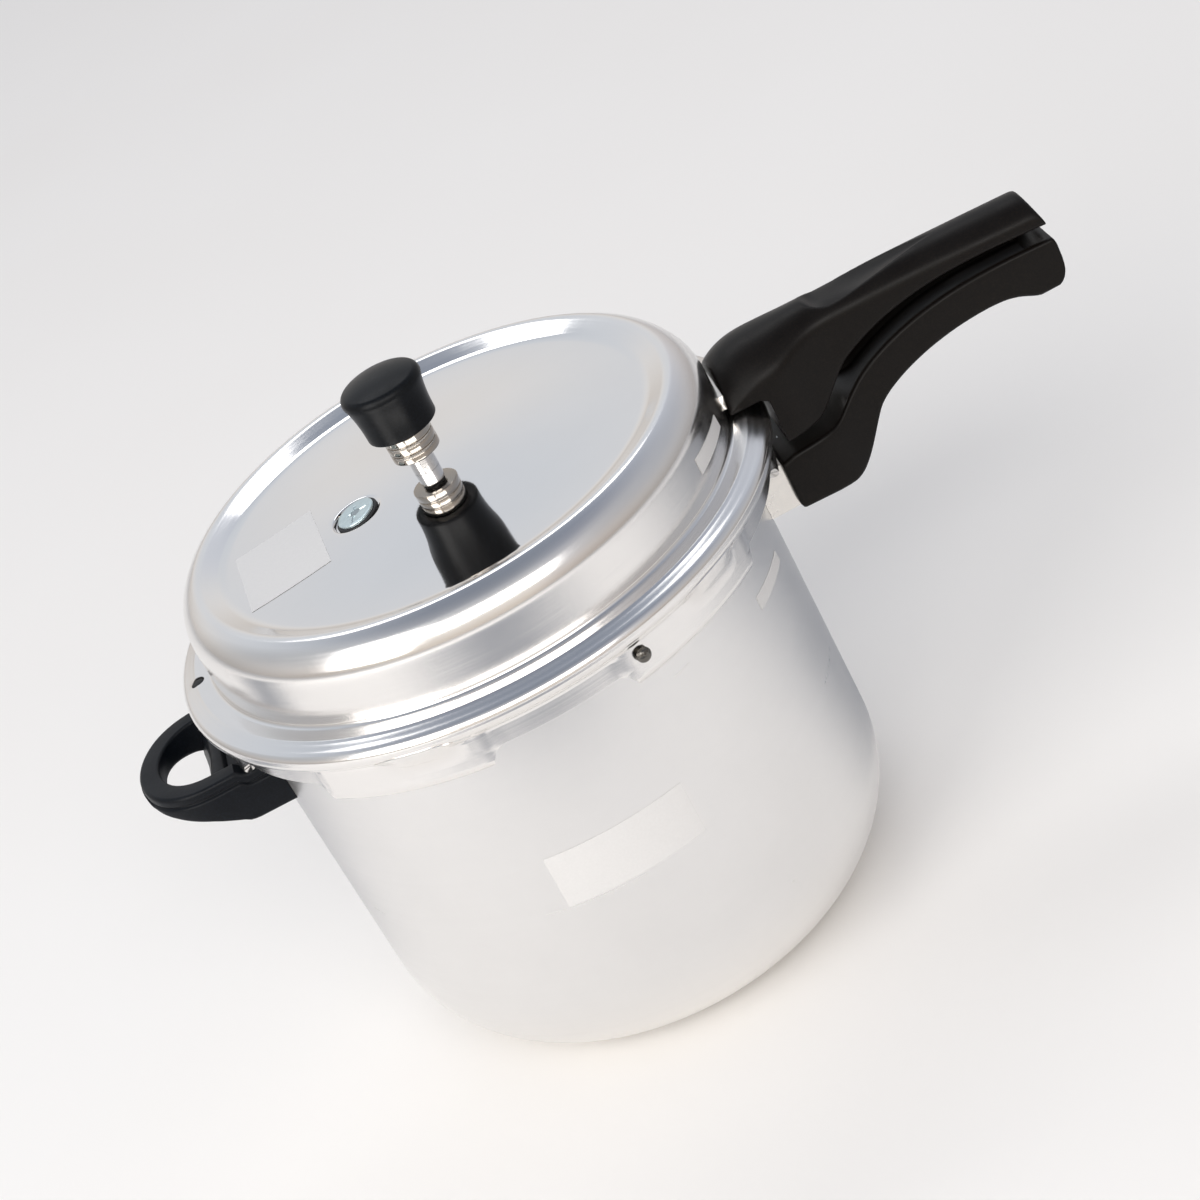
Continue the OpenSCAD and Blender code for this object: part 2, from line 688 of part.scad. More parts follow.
module lid_bracket() {
    r0 = tier_r + seat_gap;
    color("silver")
    difference() {
        union() {
            curved_plate(r0, bracket_t, lid_bracket_w / 2, lid_plate_low, lid_plate_top);
            difference() {
                translate([r0 - 2, -lid_tongue_w / 2, lid_tongue_z])
                    cube([lid_screw_x + 7 - r0 + 2, lid_tongue_w, bracket_t + 1]);
                translate([0, 0, lid_tongue_z - 5]) cylinder(r = r0, h = 20);
            }
        }
        lid_rivet_places() translate([tier_r - 2, 0, 0]) rotate([0, 90, 0])
            cylinder(d = lid_rivet_d + 2 * hole_play, h = 10);
        translate([lid_screw_x, 0, lid_tongue_z - 5]) cylinder(d = screw_d + 2 * hole_play, h = 20);
    }
}

module lid_bracket_rivets() {
    color("lightgray")
        lid_rivet_places() rivet(tier_r - lid_t - seat_gap, tier_r + bracket_t + 2 * seat_gap,
            lid_rivet_d, lid_rivet_head_d);
}

// side outline of the upper handle, with the notch over the lid's edge
module lid_handle_side() {
    xe = handle_reach - 0.6;
    a = [notch_x + 16, u_root_z + 0.6];
    b = [notch_x + 34, u_low - 12.8];
    c = [xe - 35.5, u_low - 0.3];
    polygon(concat(
        [[front_x, ledge_z + 0.8], [notch_x - 3, ledge_z + 0.6], [notch_x, ledge_z - 1],
            [notch_x, u_root_z + 1], [notch_x + 1.4, u_root_z], a],
        curve(a, a + [5, 0.6], b - [8, 6.4], b, 7),
        curve(b, b + [12, 6.6], c - [28, 0], c, 9),
        curve(c, c + [14, 0], [xe - 8, u_low - 1.6], [xe, u_low - 2.8], 4),
        [[xe + 0.6, u_low - 1.4], [xe - 1.6, h_top - 8.4]],
        curve([xe - 1.6, h_top - 8.4], [xe - 2.5, h_top - 5], [xe - 3, h_top - 3.4],
            [xe - 6, h_top - 3.1], 4),
        curve([xe - 6, h_top - 3.1], [xe - 40, h_top - 1.2], [xe - 70, h_top], [xe - 96, h_top], 7),
        [[front_x + 19, h_top]],
        curve([front_x + 19, h_top], [front_x + 15, h_top], [front_x + 13, h_top - 1.6],
            [front_x + 11, h_top - 3.1], 4),
        [[front_x, h_top - 11.4]]));
}

// bulge of the recess cutter: an arc that runs along the grip
function recess_side() =
    let (h = recess_l / 2, sag = recess_t + 0.6, big = (h * h + sag * sag) / (2 * sag))
    [for (i = [-6:6]) let (x = h * i / 6) [recess_r - (big - sqrt(big * big - x * x)), x]];

module lid_handle() {
    c = 0.2;
    color("#1c1714")
    difference() {
        intersection() {
            rotate([90, 0, 0]) translate([0, 0, -40]) linear_extrude(80) lid_handle_side();
            translate([0, 0, u_root_z - 5]) linear_extrude(80) handle_plan(front_x, handle_reach + 0.2);
            // crowned top
            union() {
                translate([0, 0, h_top - crown_r + 2.6]) rotate([0, 91.1, 0])
                    cylinder(r = crown_r, h = handle_reach + 20);
                translate([0, -crown_r, h_top - crown_r - 60]) cube([handle_reach + 20, 2 * crown_r, 60]);
            }
        }
        // recess against the lid and its bracket
        translate([0, 0, ledge_z - 20]) cylinder(r = tier_r + 1.2, h = 60);
        intersection() {
            translate([0, 0, ledge_z]) cylinder(r = tier_r + bracket_t + 0.5, h = 15);
            translate([0, -lid_bracket_w / 2 - 0.4, ledge_z])
                cube([tier_r + 20, lid_bracket_w + 0.8, lid_plate_top - ledge_z + 0.4]);
        }
        for (a = [-5.2, 5.2]) rotate([0, 0, a])
            translate([tier_r, 0, (lid_plate_low + lid_plate_top) / 2])
                rotate([0, 90, 0]) cylinder(d = lid_rivet_head_d + 1, h = 6.4);
        translate([tier_r - 3, -lid_tongue_w / 2 - c, lid_tongue_z - c])
            cube([lid_screw_x + 7.2 - tier_r + 3, lid_tongue_w + 2 * c, bracket_t + 1 + 2 * c]);
        // screw from below and insert above
        translate([lid_screw_x, 0, u_root_z - 2]) cylinder(d = screw_head_d + 2 * hole_play, h = 6);
        translate([lid_screw_x, 0, u_root_z])
            cylinder(d = screw_d + 2 * hole_play, h = lid_tongue_z - u_root_z + 9.6);
        translate([lid_screw_x, 0, lid_tongue_z]) cylinder(d = 8 + 2 * seat_gap, h = 9.6);
        // thumb recess in the top
        translate([recess_x, 0, h_top - recess_t + recess_r]) rotate([0, 90, 0]) rotate_extrude()
            polygon(concat([[0, -recess_l / 2]], recess_side(), [[0, recess_l / 2]]));
    }
}

module lid_handle_screw() {
    color("silver")
        translate([lid_screw_x, 0, u_root_z + 4 - seat_gap])
            screw(screw_d, screw_head_d, 3, lid_tongue_z - u_root_z - 4 + bracket_t + 1 + 5);
}

module lid_handle_insert() {
    color("goldenrod")
        translate([lid_screw_x, 0, lid_tongue_z + bracket_t + 1 + seat_gap])
            difference() {
                cylinder(d = 8, h = 6);
                translate([0, 0, -1]) cylinder(d = screw_d + 2 * hole_play, h = 8);
            }
}

// ---------------------------------------------------------------- small lid parts

module stop_rivet() {
    r1 = lid_lug_r + 1;
    d = stop_d * 0.62;
    color("dimgray")
    rotate([0, 0, stop_a]) translate([0, 0, stop_z]) rotate([0, 90, 0]) {
        translate([0, 0, pot_r + rim_out + 1.6]) cylinder(d = d, h = r1 - pot_r - rim_out - 1.5);
        translate([0, 0, r1 + 0.4]) rotate_extrude()
            polygon([[0, 0], [stop_d / 2, 0], for (i = [0:6]) let (t = i * 15)
                [stop_d / 2 * cos(t), 2.2 * sin(t)]]);
        translate([0, 0, r1]) cylinder(d = d + 0.6, h = 0.6);
    }
}

// the plug's own axis: tilted outward, seat at z = 0
module at_plug() {
    rotate([0, 0, plug_a]) translate([plug_x, 0, plug_seat_z]) rotate([0, plug_tilt, 0]) children();
}

module plug_body() {
    z0 = plug_ring_h;
    z1 = z0 + plug_head_h;
    tail = lid_t + nut_h + 2;
    color("#c8d2d8")
    at_plug()
    difference() {
        union() {
            translate([0, 0, z0]) cylinder(d = plug_d, h = plug_head_h - 0.5);
            translate([0, 0, z1 - 0.5]) cylinder(d1 = plug_d, d2 = plug_d - 1.4, h = 0.5);
            translate([0, 0, -tail]) cylinder(d = plug_shank_d, h = z0 + tail + e);
        }
        translate([0, 0, -tail - 1]) cylinder(d = plug_core_d + 0.1, h = 40);
        for (a = [90, 210, 330]) rotate([0, 0, a])
            translate([plug_core_d / 2 + 1, -0.6, z1 - 0.4]) cube([plug_d / 2 - 4.4, 1.2, 1]);
    }
}

module plug_ring() {
    color("#1b1b1d")
    at_plug()
        difference() {
            translate([0, 0, seat_gap / 2]) cylinder(d = plug_ring_d, h = plug_ring_h - seat_gap);
            translate([0, 0, -1]) cylinder(d = plug_shank_d + 2 * hole_play, h = 5);
        }
}

module plug_core() {
    tail = lid_t + nut_h + 2;
    color("#9aa3a8")
    at_plug() translate([0, 0, -tail]) cylinder(d = plug_core_d, h = tail + plug_ring_h + plug_head_h - 0.3);
}

module plug_nut() {
    color("silver")
    at_plug() translate([0, 0, plug_nut_z]) hex_nut(plug_shank_d, nut_af, nut_h);
}

module vent_tube() {
    z0 = panel_z + dome_h;
    tail = lid_t + nut_h + 2;
    color("lightgray")
    difference() {
        union() {
            translate([0, 0, z0 - tail]) cylinder(d = tail_d, h = tail + e);
            translate([0, 0, z0]) cylinder(d = stem_d, h = stem_h);
            translate([0, 0, stem_top_z - e]) cylinder(d = tube_d, h = tube_h + e);
        }
        translate([0, 0, z0 - tail - 1]) cylinder(d = vent_bore_d, h = 80);
        translate([0, 0, tube_top_z - 1.5]) cylinder(d1 = vent_bore_d, d2 = vent_bore_d + 2, h = 1.6);
    }
}

module vent_seal() {
    color("#26282a")
    translate([0, 0, stem_top_z])
        difference() {
            cylinder(d = vent_seal_d, h = vent_seal_h);
            translate([0, 0, -1]) cylinder(d = tube_d + 2 * hole_play, h = vent_seal_h + 2);
        }
}

module vent_nut() {
    color("silver")
    translate([0, 0, under_z + dome_at(nut_af / 2 + 1.5) - nut_h - seat_gap]) hex_nut(tail_d, nut_af, nut_h);
}

// ---------------------------------------------------------------- weight

pin_z = tube_top_z - 1;
pin_top = pin_z + 9;

module weight_pin() {
    color("silver")
    rotate_extrude()
        polygon([[0, pin_z - 0.2], [vent_bore_d / 2 - 0.2, pin_z], [vent_bore_d / 2 + 0.6, pin_z + 1.4],
            [pin_d / 2, pin_z + 1.4], [pin_d / 2, pin_top], [0, pin_top]]);
}

module weight_body() {
    z0 = weight_z;
    r = collar_d / 2;
    ri = cap_low_d / 2 - 3;
    zc = cap_z;
    ztop = zc + cap_flare_h - 1;
    color("gainsboro")
    difference() {
        rotate_extrude()
            polygon([[0, z0], [r - 0.6, z0], [r, z0 + 0.6], [r, z0 + 3.6], [r - 0.5, z0 + 3.9],
                [r - 0.5, z0 + 4.5], [r, z0 + 4.8], [r, z0 + 7.4], [r - 0.5, z0 + 7.7],
                [r - 0.5, z0 + 8.3], [r, z0 + 8.6], [r, zc + 1.5], [ri, zc + 1.5], [ri, ztop], [0, ztop]]);
        translate([0, 0, z0 - 1]) cylinder(d = tube_d + 1, h = tube_top_z - z0 + 1.7);
        translate([0, 0, z0]) cylinder(r = pin_d / 2 + pin_play, h = pin_top - z0 + seat_gap);
    }
}

module weight_cap() {
    z0 = cap_z;
    zf = z0 + cap_flare_h;
    zt = zf + cap_crown_h;
    rl = cap_low_d / 2;
    rm = cap_d / 2;
    ri = rl - 3 + seat_gap;
    color("#171b1f")
    difference() {
        rotate_extrude()
            polygon(concat([[0, z0], [rl - 0.8, z0], [rl, z0 + 0.8], [rl + 0.2, z0 + 7],
                [rl + 0.9, z0 + 12], [rm - 0.5, zf - 3]],
                arc([rm - 3.4, zf], 3.4, 0, 62, 5),
                [for (i = [1:6]) let (t = i / 6, r = (rm - 2) * (1 - t))
                    [r, zt - (zt - zf - 3) * pow(r / (rm - 1.8), 2.4)]]));
        translate([0, 0, z0 - 1]) cylinder(r = collar_d / 2 + seat_gap, h = 4);
        translate([0, 0, z0 + 1.5 - seat_gap]) cylinder(r = ri, h = cap_flare_h - 2.5 + 2 * seat_gap);
    }
}

body_pot();
body_bracket();
body_bracket_rivets();
body_handle();
body_handle_screw();
body_handle_nut();
helper_bracket();
helper_bracket_rivets();
helper_handle();
helper_screw();
helper_nut();
gasket();
lid_shell();
lid_bracket();
lid_bracket_rivets();
lid_handle();
lid_handle_screw();
lid_handle_insert();
stop_rivet();
plug_body();
plug_ring();
plug_core();
plug_nut();
vent_tube();
vent_seal();
vent_nut();
weight_pin();
weight_body();
weight_cap();
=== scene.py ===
import math

import bmesh
import bpy
from mathutils import Matrix, Quaternion, Vector


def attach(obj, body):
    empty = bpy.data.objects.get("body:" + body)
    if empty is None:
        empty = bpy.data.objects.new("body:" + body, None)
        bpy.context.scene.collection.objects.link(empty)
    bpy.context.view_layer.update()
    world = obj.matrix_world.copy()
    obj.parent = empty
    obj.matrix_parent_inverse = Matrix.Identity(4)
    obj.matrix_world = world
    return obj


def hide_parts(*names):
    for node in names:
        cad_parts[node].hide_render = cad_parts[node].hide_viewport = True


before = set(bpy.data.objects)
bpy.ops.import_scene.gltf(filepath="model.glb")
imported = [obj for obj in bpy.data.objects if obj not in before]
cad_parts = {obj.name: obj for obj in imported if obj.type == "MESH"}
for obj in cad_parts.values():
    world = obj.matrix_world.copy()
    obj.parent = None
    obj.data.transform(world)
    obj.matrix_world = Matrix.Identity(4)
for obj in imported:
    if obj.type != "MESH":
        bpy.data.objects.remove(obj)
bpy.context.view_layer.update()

# ------------------------------------------------------------------ camera
# A moderately long lens about 1.1 m away looks down on the lid, and the camera is
# turned about its own axis, so the cooker stands tilted in the frame.
LENS = 80.36
SENSOR = 36.0
CAMERA_PLACE = (0.04888, -0.93272, 0.6635)
LINE_OF_SIGHT = Vector((-0.01395, 0.87387, -0.4860))
CAMERA_ROLL = math.radians(-28.65)

camera_data = bpy.data.cameras.new("camera")
camera_data.sensor_width = SENSOR
camera_data.lens = LENS
camera = bpy.data.objects.new("camera", camera_data)
bpy.context.scene.collection.objects.link(camera)
camera.location = CAMERA_PLACE
camera.rotation_mode = "QUATERNION"
camera.rotation_quaternion = (
    LINE_OF_SIGHT.to_track_quat("-Z", "Y") @ Quaternion((0, 0, 1), CAMERA_ROLL)
)
bpy.context.scene.camera = camera

# ------------------------------------------------------------------ floor and light
# A pale matt paper floor under a soft tent: grey overhead, bright low down and cooler
# behind, with three big soft lamps. Felt cards lie round the cooker. All in metres.
MM = 0.001
FLOOR_HALF = 40.0
LAMP_AIM = Vector((0, 0, 0.15))
CARD_Z = 0.002


def to_linear(text):
    """An sRGB colour such as "d9d4cc" as linear RGBA."""
    out = []
    for i in (0, 2, 4):
        c = int(text[i:i + 2], 16) / 255
        out.append(c / 12.92 if c <= 0.04045 else ((c + 0.055) / 1.055) ** 2.4)
    return (*out, 1.0)


def per_metre(size):
    """The scale of a pattern whose grains are this many millimetres wide."""
    return 1 / (size * MM)


def add(tree, kind, inputs=None, **settings):
    """Adds a node, sets its properties, then sets or links its inputs."""
    node = tree.nodes.new(kind)
    for key, value in settings.items():
        setattr(node, key, value)
    for key, value in (inputs or {}).items():
        if isinstance(value, bpy.types.NodeSocket):
            tree.links.new(value, node.inputs[key])
        else:
            node.inputs[key].default_value = value
    return node


def new_material(name):
    """An empty node material, and its tree."""
    mat = bpy.data.materials.new(name)
    mat.use_nodes = True
    mat.node_tree.nodes.clear()
    return mat, mat.node_tree


floor_mesh = bpy.data.meshes.new("studio_floor")
bm = bmesh.new()
bmesh.ops.create_grid(bm, x_segments=2, y_segments=2, size=FLOOR_HALF)
bm.to_mesh(floor_mesh)
bm.free()
studio_floor = bpy.data.objects.new("studio_floor", floor_mesh)
bpy.context.scene.collection.objects.link(studio_floor)

# matt seamless paper: warm white with a very faint mottle
floor_mat, tree = new_material("seamless_paper")
coords = add(tree, "ShaderNodeTexCoord")
mottle = add(tree, "ShaderNodeTexNoise", {
    "Vector": coords.outputs["Object"], "Scale": per_metre(333.3), "Detail": 2.0})
paper = add(tree, "ShaderNodeMix", {
    "Factor": mottle.outputs["Fac"], "A": to_linear("f6f3ef"), "B": to_linear("f9f7f4")},
    data_type="RGBA")
matt = add(tree, "ShaderNodeBsdfDiffuse", {"Color": paper.outputs["Result"]})
add(tree, "ShaderNodeOutputMaterial", {"Surface": matt.outputs[0]})
floor_mesh.materials.append(floor_mat)

# the tent's colours from the horizon to overhead, and factors on them from left to right:
# bright and dark uprights that stand as soft vertical streaks in the metal
tent_colours = [(0, "d0c8c0"), (0.1, "d9d2cb"), (0.28, "ebe7e3"), (0.48, "d8dade"),
                (0.64, "d9dce0"), (0.8, "bcc1ca"), (0.92, "949ba8"), (1, "838b99")]
upright_factors = [(0, (0.8, 0.81, 0.84)), (0.08, (0.6, 0.6, 0.6)), (0.2, (1.08, 1.08, 1.08)),
                   (0.4, (1.12, 1.12, 1.12)), (0.5, (0.98, 0.98, 0.98)),
                   (0.57, (1.12, 1.12, 1.12)), (0.68, (0.9, 0.9, 0.936)),
                   (0.8, (0.72, 0.72, 0.7488)), (0.9, (0.66, 0.66, 0.6864)),
                   (1, (0.62, 0.65, 0.7))]

world = bpy.data.worlds.new("soft_tent")
bpy.context.scene.world = world
world.use_nodes = True
tree = world.node_tree
tree.nodes.clear()
coords = add(tree, "ShaderNodeTexCoord")
sight = add(tree, "ShaderNodeSeparateXYZ", {"Vector": coords.outputs["Generated"]})
across = add(tree, "ShaderNodeMapRange", {
    "Value": sight.outputs["X"], "From Min": -1.0, "From Max": 1.0})
tent = add(tree, "ShaderNodeValToRGB", {"Fac": sight.outputs["Z"]})
uprights = add(tree, "ShaderNodeValToRGB", {"Fac": across.outputs[0]})
for ramp, stops in (
        (tent.color_ramp, [(place, to_linear(colour)) for place, colour in tent_colours]),
        (uprights.color_ramp, [(place, (*factor, 1.0)) for place, factor in upright_factors])):
    ramp.interpolation = "B_SPLINE"
    ramp.elements[0].color = stops[0][1]
    ramp.elements[-1].color = stops[-1][1]
    for place, colour in stops[1:-1]:
        ramp.elements.new(place).color = colour
tent = add(tree, "ShaderNodeMix", {
    "Factor": 1.0, "A": tent.outputs["Color"], "B": uprights.outputs["Color"]},
    data_type="RGBA", blend_type="MULTIPLY")
# warm in front, cool behind
depth = add(tree, "ShaderNodeMapRange", {
    "Value": sight.outputs["Y"], "From Min": -0.5, "From Max": 0.5})
cast = add(tree, "ShaderNodeMix", {
    "Factor": depth.outputs[0], "A": (1.03, 0.995, 0.955, 1), "B": (0.96, 0.985, 1.02, 1)},
    data_type="RGBA")
tent = add(tree, "ShaderNodeMix", {
    "Factor": 1.0, "A": tent.outputs["Result"], "B": cast.outputs["Result"]},
    data_type="RGBA", blend_type="MULTIPLY")
background = add(tree, "ShaderNodeBackground", {
    "Color": tent.outputs["Result"], "Strength": 1.0})
add(tree, "ShaderNodeOutputWorld", {"Surface": background.outputs["Background"]})

# each lamp's place, its width and height in metres, its watts and its tint
for name, place, size, watts, tint in (
        ("window_left", (-1.7, -1.36, 1.4), (1.35, 1.85), 27.0, (1.0, 0.985, 0.965)),
        ("front_panel", (0.0, -3.2, 2.5), (3.2, 1.5), 57.0, (1.0, 0.975, 0.95)),
        ("rear_panel", (-0.1, 2.4, 4.0), (3.8, 1.1), 31.0, (1.0, 0.99, 0.98))):
    lamp_data = bpy.data.lights.new(name, "AREA")
    lamp_data.shape = "RECTANGLE"
    lamp_data.size, lamp_data.size_y = size
    lamp_data.energy = watts
    lamp_data.color = tint
    lamp = bpy.data.objects.new(name, lamp_data)
    bpy.context.scene.collection.objects.link(lamp)
    lamp.location = place
    lamp.rotation_mode = "QUATERNION"
    lamp.rotation_quaternion = (LAMP_AIM - Vector(place)).to_track_quat("-Z", "Y")

# Felt cards that only the metal mirrors, as soft upright bands. Each is a flat sector:
# its bearing from straight in front, its width in degrees, its two radii in metres.
for name, bearing, wide, near, far, tone in (
        ("card_front", -4, 92, 0.40, 1.2, "919398"),
        ("card_left", -100, 34, 0.38, 1.3, "97999e"),
        ("card_right", 107, 122, 0.36, 1.3, "888a8f"),
        ("card_right_near", 116, 110, 0.14, 0.36, "b4b6ba"),
        ("card_far_left", -146, 112, 0.14, 0.42, "868a94")):
    card_mesh = bpy.data.meshes.new(name)
    bm = bmesh.new()
    turns = [math.radians(bearing + wide / 8 * i) for i in range(-4, 5)]
    outline = [(near, turn) for turn in turns] + [(far, turn) for turn in reversed(turns)]
    bm.faces.new([bm.verts.new((r * math.sin(turn), -r * math.cos(turn), CARD_Z))
                  for r, turn in outline])
    bm.to_mesh(card_mesh)
    bm.free()
    card = bpy.data.objects.new(name, card_mesh)
    bpy.context.scene.collection.objects.link(card)
    card.visible_camera = card.visible_diffuse = card.visible_shadow = False
    # grey wool felt: flat and flecked, full in its middle and thinned out to its two sides
    card_mat, tree = new_material("wool_felt")
    coords = add(tree, "ShaderNodeTexCoord")
    fleck = add(tree, "ShaderNodeTexNoise", {
        "Vector": coords.outputs["Object"], "Scale": per_metre(16.67), "Detail": 2.0})
    felt = add(tree, "ShaderNodeMix", {
        "Factor": fleck.outputs["Fac"], "A": to_linear(tone), "B": to_linear("b0b2b6")},
        data_type="RGBA")
    flat = add(tree, "ShaderNodeSeparateXYZ", {"Vector": coords.outputs["Object"]})
    ahead = add(tree, "ShaderNodeMath", {0: flat.outputs["Y"], 1: -1.0}, operation="MULTIPLY")
    turned = add(tree, "ShaderNodeMath", {0: flat.outputs["X"], 1: ahead.outputs[0]},
                 operation="ARCTAN2")
    away = add(tree, "ShaderNodeMath", {0: turned.outputs[0], 1: math.radians(bearing)},
               operation="SUBTRACT")
    away = add(tree, "ShaderNodeMath", {0: away.outputs[0]}, operation="ABSOLUTE")
    fade = add(tree, "ShaderNodeMapRange", {
        "Value": away.outputs[0], "From Max": math.radians(wide / 2)},
        interpolation_type="SMOOTHSTEP")
    matt = add(tree, "ShaderNodeBsdfDiffuse", {"Color": felt.outputs["Result"]})
    clear = add(tree, "ShaderNodeBsdfTransparent")
    thinned = add(tree, "ShaderNodeMixShader", {
        0: fade.outputs[0], 1: matt.outputs[0], 2: clear.outputs[0]})
    add(tree, "ShaderNodeOutputMaterial", {"Surface": thinned.outputs[0]})
    card_mesh.materials.append(card_mat)

bpy.context.scene.view_settings.view_transform = "Standard"

# ------------------------------------------------------------------ lid
# Pressed from one aluminium sheet and buffed: a shallow dome, a rolled shoulder, a ledge,
# a rolled edge and six bayonet lugs whose lips turn in under the pot's lugs. Millimetres.
LID_SHEET = 2.6
PANEL_Z = 227.3
PANEL_R = 88.16
DOME = 4.6
VENT_R = 4.4
SHOULDER_R = 16.6
SHOULDER_Z = 216.1
TIER_R = 111.8
LEDGE_Z = 198.6
ROLL = (122.6, 192.7, 4.2)
STRIP_R = 119.8
LUG_FACE = 121.9
LUG_PITCH = 60.0
LUG_TURN = 2.3
LUG_EDGE_Z = 178.0
LIP_Z = 170.4
ROUND_STEPS = 288


def arc(cx, cz, r, a0, a1, n):
    """Points of an arc about (cx, cz), from angle a0 to a1 in degrees."""
    return [(cx + r * math.cos(math.radians(a0 + (a1 - a0) * i / n)),
             cz + r * math.sin(math.radians(a0 + (a1 - a0) * i / n))) for i in range(n + 1)]


def soft_step(x, lo, hi):
    """0 up to lo and 1 from hi on, with a smooth rise between them."""
    t = min(1.0, max(0.0, (x - lo) / (hi - lo)))
    return t * t * (3 - 2 * t)


def bearing_of(v):
    """Degrees round the Z axis of a vertex."""
    return math.degrees(math.atan2(v.co.y, v.co.x))


def on_ring(radius, angle, z):
    """The point at a radius, an angle in degrees and a height."""
    return Matrix.Rotation(math.radians(angle), 3, "Z") @ Vector((radius, 0, z))


def grow(bm, edges):
    """Extrudes a row of edges; returns the new row's vertices and edges."""
    made = bmesh.ops.extrude_edge_only(bm, edges=edges)["geom"]
    verts = {g for g in made if isinstance(g, bmesh.types.BMVert)}
    return verts, [g for g in made if isinstance(g, bmesh.types.BMEdge)
                   and all(v in verts for v in g.verts)]


def spin_profile(bm, points, steps, start=0.0):
    """Turns a line of (radius, height) points round the Z axis and welds its ends."""
    turn = Matrix.Rotation(start, 3, "Z")
    verts = [bm.verts.new(turn @ Vector((r, 0, z))) for r, z in points]
    edges = [bm.edges.new(pair) for pair in zip(verts, verts[1:])]
    bmesh.ops.spin(bm, geom=verts + edges, cent=(0, 0, 0), axis=(0, 0, 1), angle=math.tau,
                   steps=steps, use_merge=True)
    bmesh.ops.remove_doubles(bm, verts=bm.verts, dist=0.001)


def finish_piece(bm, name, body, stands_for, sharp=35.0):
    """Writes the mesh in metres, shades it smooth apart from sharp corners, and ties it on."""
    bmesh.ops.remove_doubles(bm, verts=bm.verts, dist=0.004)
    bmesh.ops.recalc_face_normals(bm, faces=bm.faces)
    bmesh.ops.scale(bm, vec=(MM, MM, MM), verts=bm.verts)
    for face in bm.faces:
        face.smooth = True
    for edge in bm.edges:
        edge.smooth = (len(edge.link_faces) == 2
                       and edge.calc_face_angle(0.0) < math.radians(sharp))
    mesh = bpy.data.meshes.new(name)
    bm.to_mesh(mesh)
    bm.free()
    piece = bpy.data.objects.new(name, mesh)
    bpy.context.scene.collection.objects.link(piece)
    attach(piece, body)
    if stands_for:
        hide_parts(*stands_for)
    return piece


def panel_height(r):
    """Height of the lid's domed panel at a distance from its middle."""
    if r < PANEL_R:
        return PANEL_Z + DOME * math.cos(math.pi / 2 * r / PANEL_R) ** 2
    return PANEL_Z


def lug_place(angle):
    """Degrees from the middle of the nearest lug."""
    return (angle - LUG_TURN + LUG_PITCH / 2) % LUG_PITCH - LUG_PITCH / 2


# the section from the vent hole over the shoulder, down the tier and round the rolled edge
line = [(r, panel_height(r)) for r in (VENT_R + (PANEL_R - VENT_R) * i / 34 for i in range(34))]
line += arc(PANEL_R, PANEL_Z + 10, 10, -90, -64, 10)
line += arc(100.29, 226.53, 5, 116, 64, 16)
line += arc(TIER_R - SHOULDER_R, SHOULDER_Z, SHOULDER_R, 64, 0, 26)[1:]
line += [(TIER_R, SHOULDER_Z - (SHOULDER_Z - LEDGE_Z - 2) * i / 6) for i in range(1, 6)]
line += arc(TIER_R + 2, LEDGE_Z + 2, 2, 180, 270, 8)
line += [(115.6, LEDGE_Z), (117.4, LEDGE_Z)]
line += arc(118.9, 197.4, 1.2, 90, 68, 4)
line += [(119.9, 198.12), (120.6, 197.9), (122.0, 197.3), (123.4, 196.72)]
line += arc(*ROLL, 60, 6, 9)
# the same number of points under the edge: with the crease, and smooth over a lug
creased = arc(*ROLL, 0, -58, 9) + [
    (122.6, 187.4), (121.0, 186.55), (120.1, 186.1), (STRIP_R, 185.5), (STRIP_R, 184.6),
    (STRIP_R, 182.6), (STRIP_R, 180.2), (STRIP_R, LUG_EDGE_Z)]
smooth = arc(*ROLL, 0, -26, 9) + [
    (125.3, 189.1), (124.2, 187.5), (123.2, 186.2), (122.3, 185.0), (121.5, 184.0),
    (120.5, 182.2), (119.95, 180.2), (STRIP_R, LUG_EDGE_Z)]
bm = bmesh.new()
spin_profile(bm, line + creased, ROUND_STEPS, math.radians(LUG_TURN))
under_edge = {round(z, 3): i for i, (r, z) in enumerate(creased)}

# over each lug the strip loses its crease and steps out to the lug's face
for v in bm.verts:
    i = under_edge.get(round(v.co.z, 3))
    r = v.co.xy.length
    if i is not None and r > 118:
        off = lug_place(bearing_of(v))
        keep = soft_step(off, -4.5, 3.5) * (1 - soft_step(off, 8.5, 13.5))
        out = (LUG_FACE - STRIP_R) * (1 - soft_step(abs(off), 16.0, 19.5))
        out *= min(1.0, max(0.0, (i - 8) / 5))
        (cr, cz), (sr, sz) = creased[i], smooth[i]
        to = (cr + (sr - cr) * keep + out) / r
        v.co = Vector((to * v.co.x, to * v.co.y, cz + (sz - cz) * keep))

# the lugs: rows of (radius, height, half width in degrees) run down from the strip's
# edge, round the bend and in along the lip
rows = [(LUG_FACE, 177.8, 18.5), (LUG_FACE, 177.4, 17.9), (LUG_FACE, 176.8, 17.35),
        (LUG_FACE, 176.0, 16.95), (LUG_FACE, 175.1, 16.65), (LUG_FACE, 174.2, 16.4)]
rows += [(r, z, 16.2 - 1.9 * (1 - math.sqrt(max(0.0, 1 - ((174.2 - z) / 3.9) ** 2))))
         for r, z in arc(LUG_FACE - 4, LIP_Z + 4, 4, -6, -90, 8)]
rows += [(116.6, LIP_Z, 14.2), (115.0, LIP_Z, 14.1), (113.9, 170.5, 14.0), (113.4, 170.9, 14.0)]
edge_loop = [e for e in bm.edges if e.is_boundary and e.verts[0].co.z < 180
             and all(abs(lug_place(bearing_of(v))) < 18.9 for v in e.verts)]
half_now = 18.75
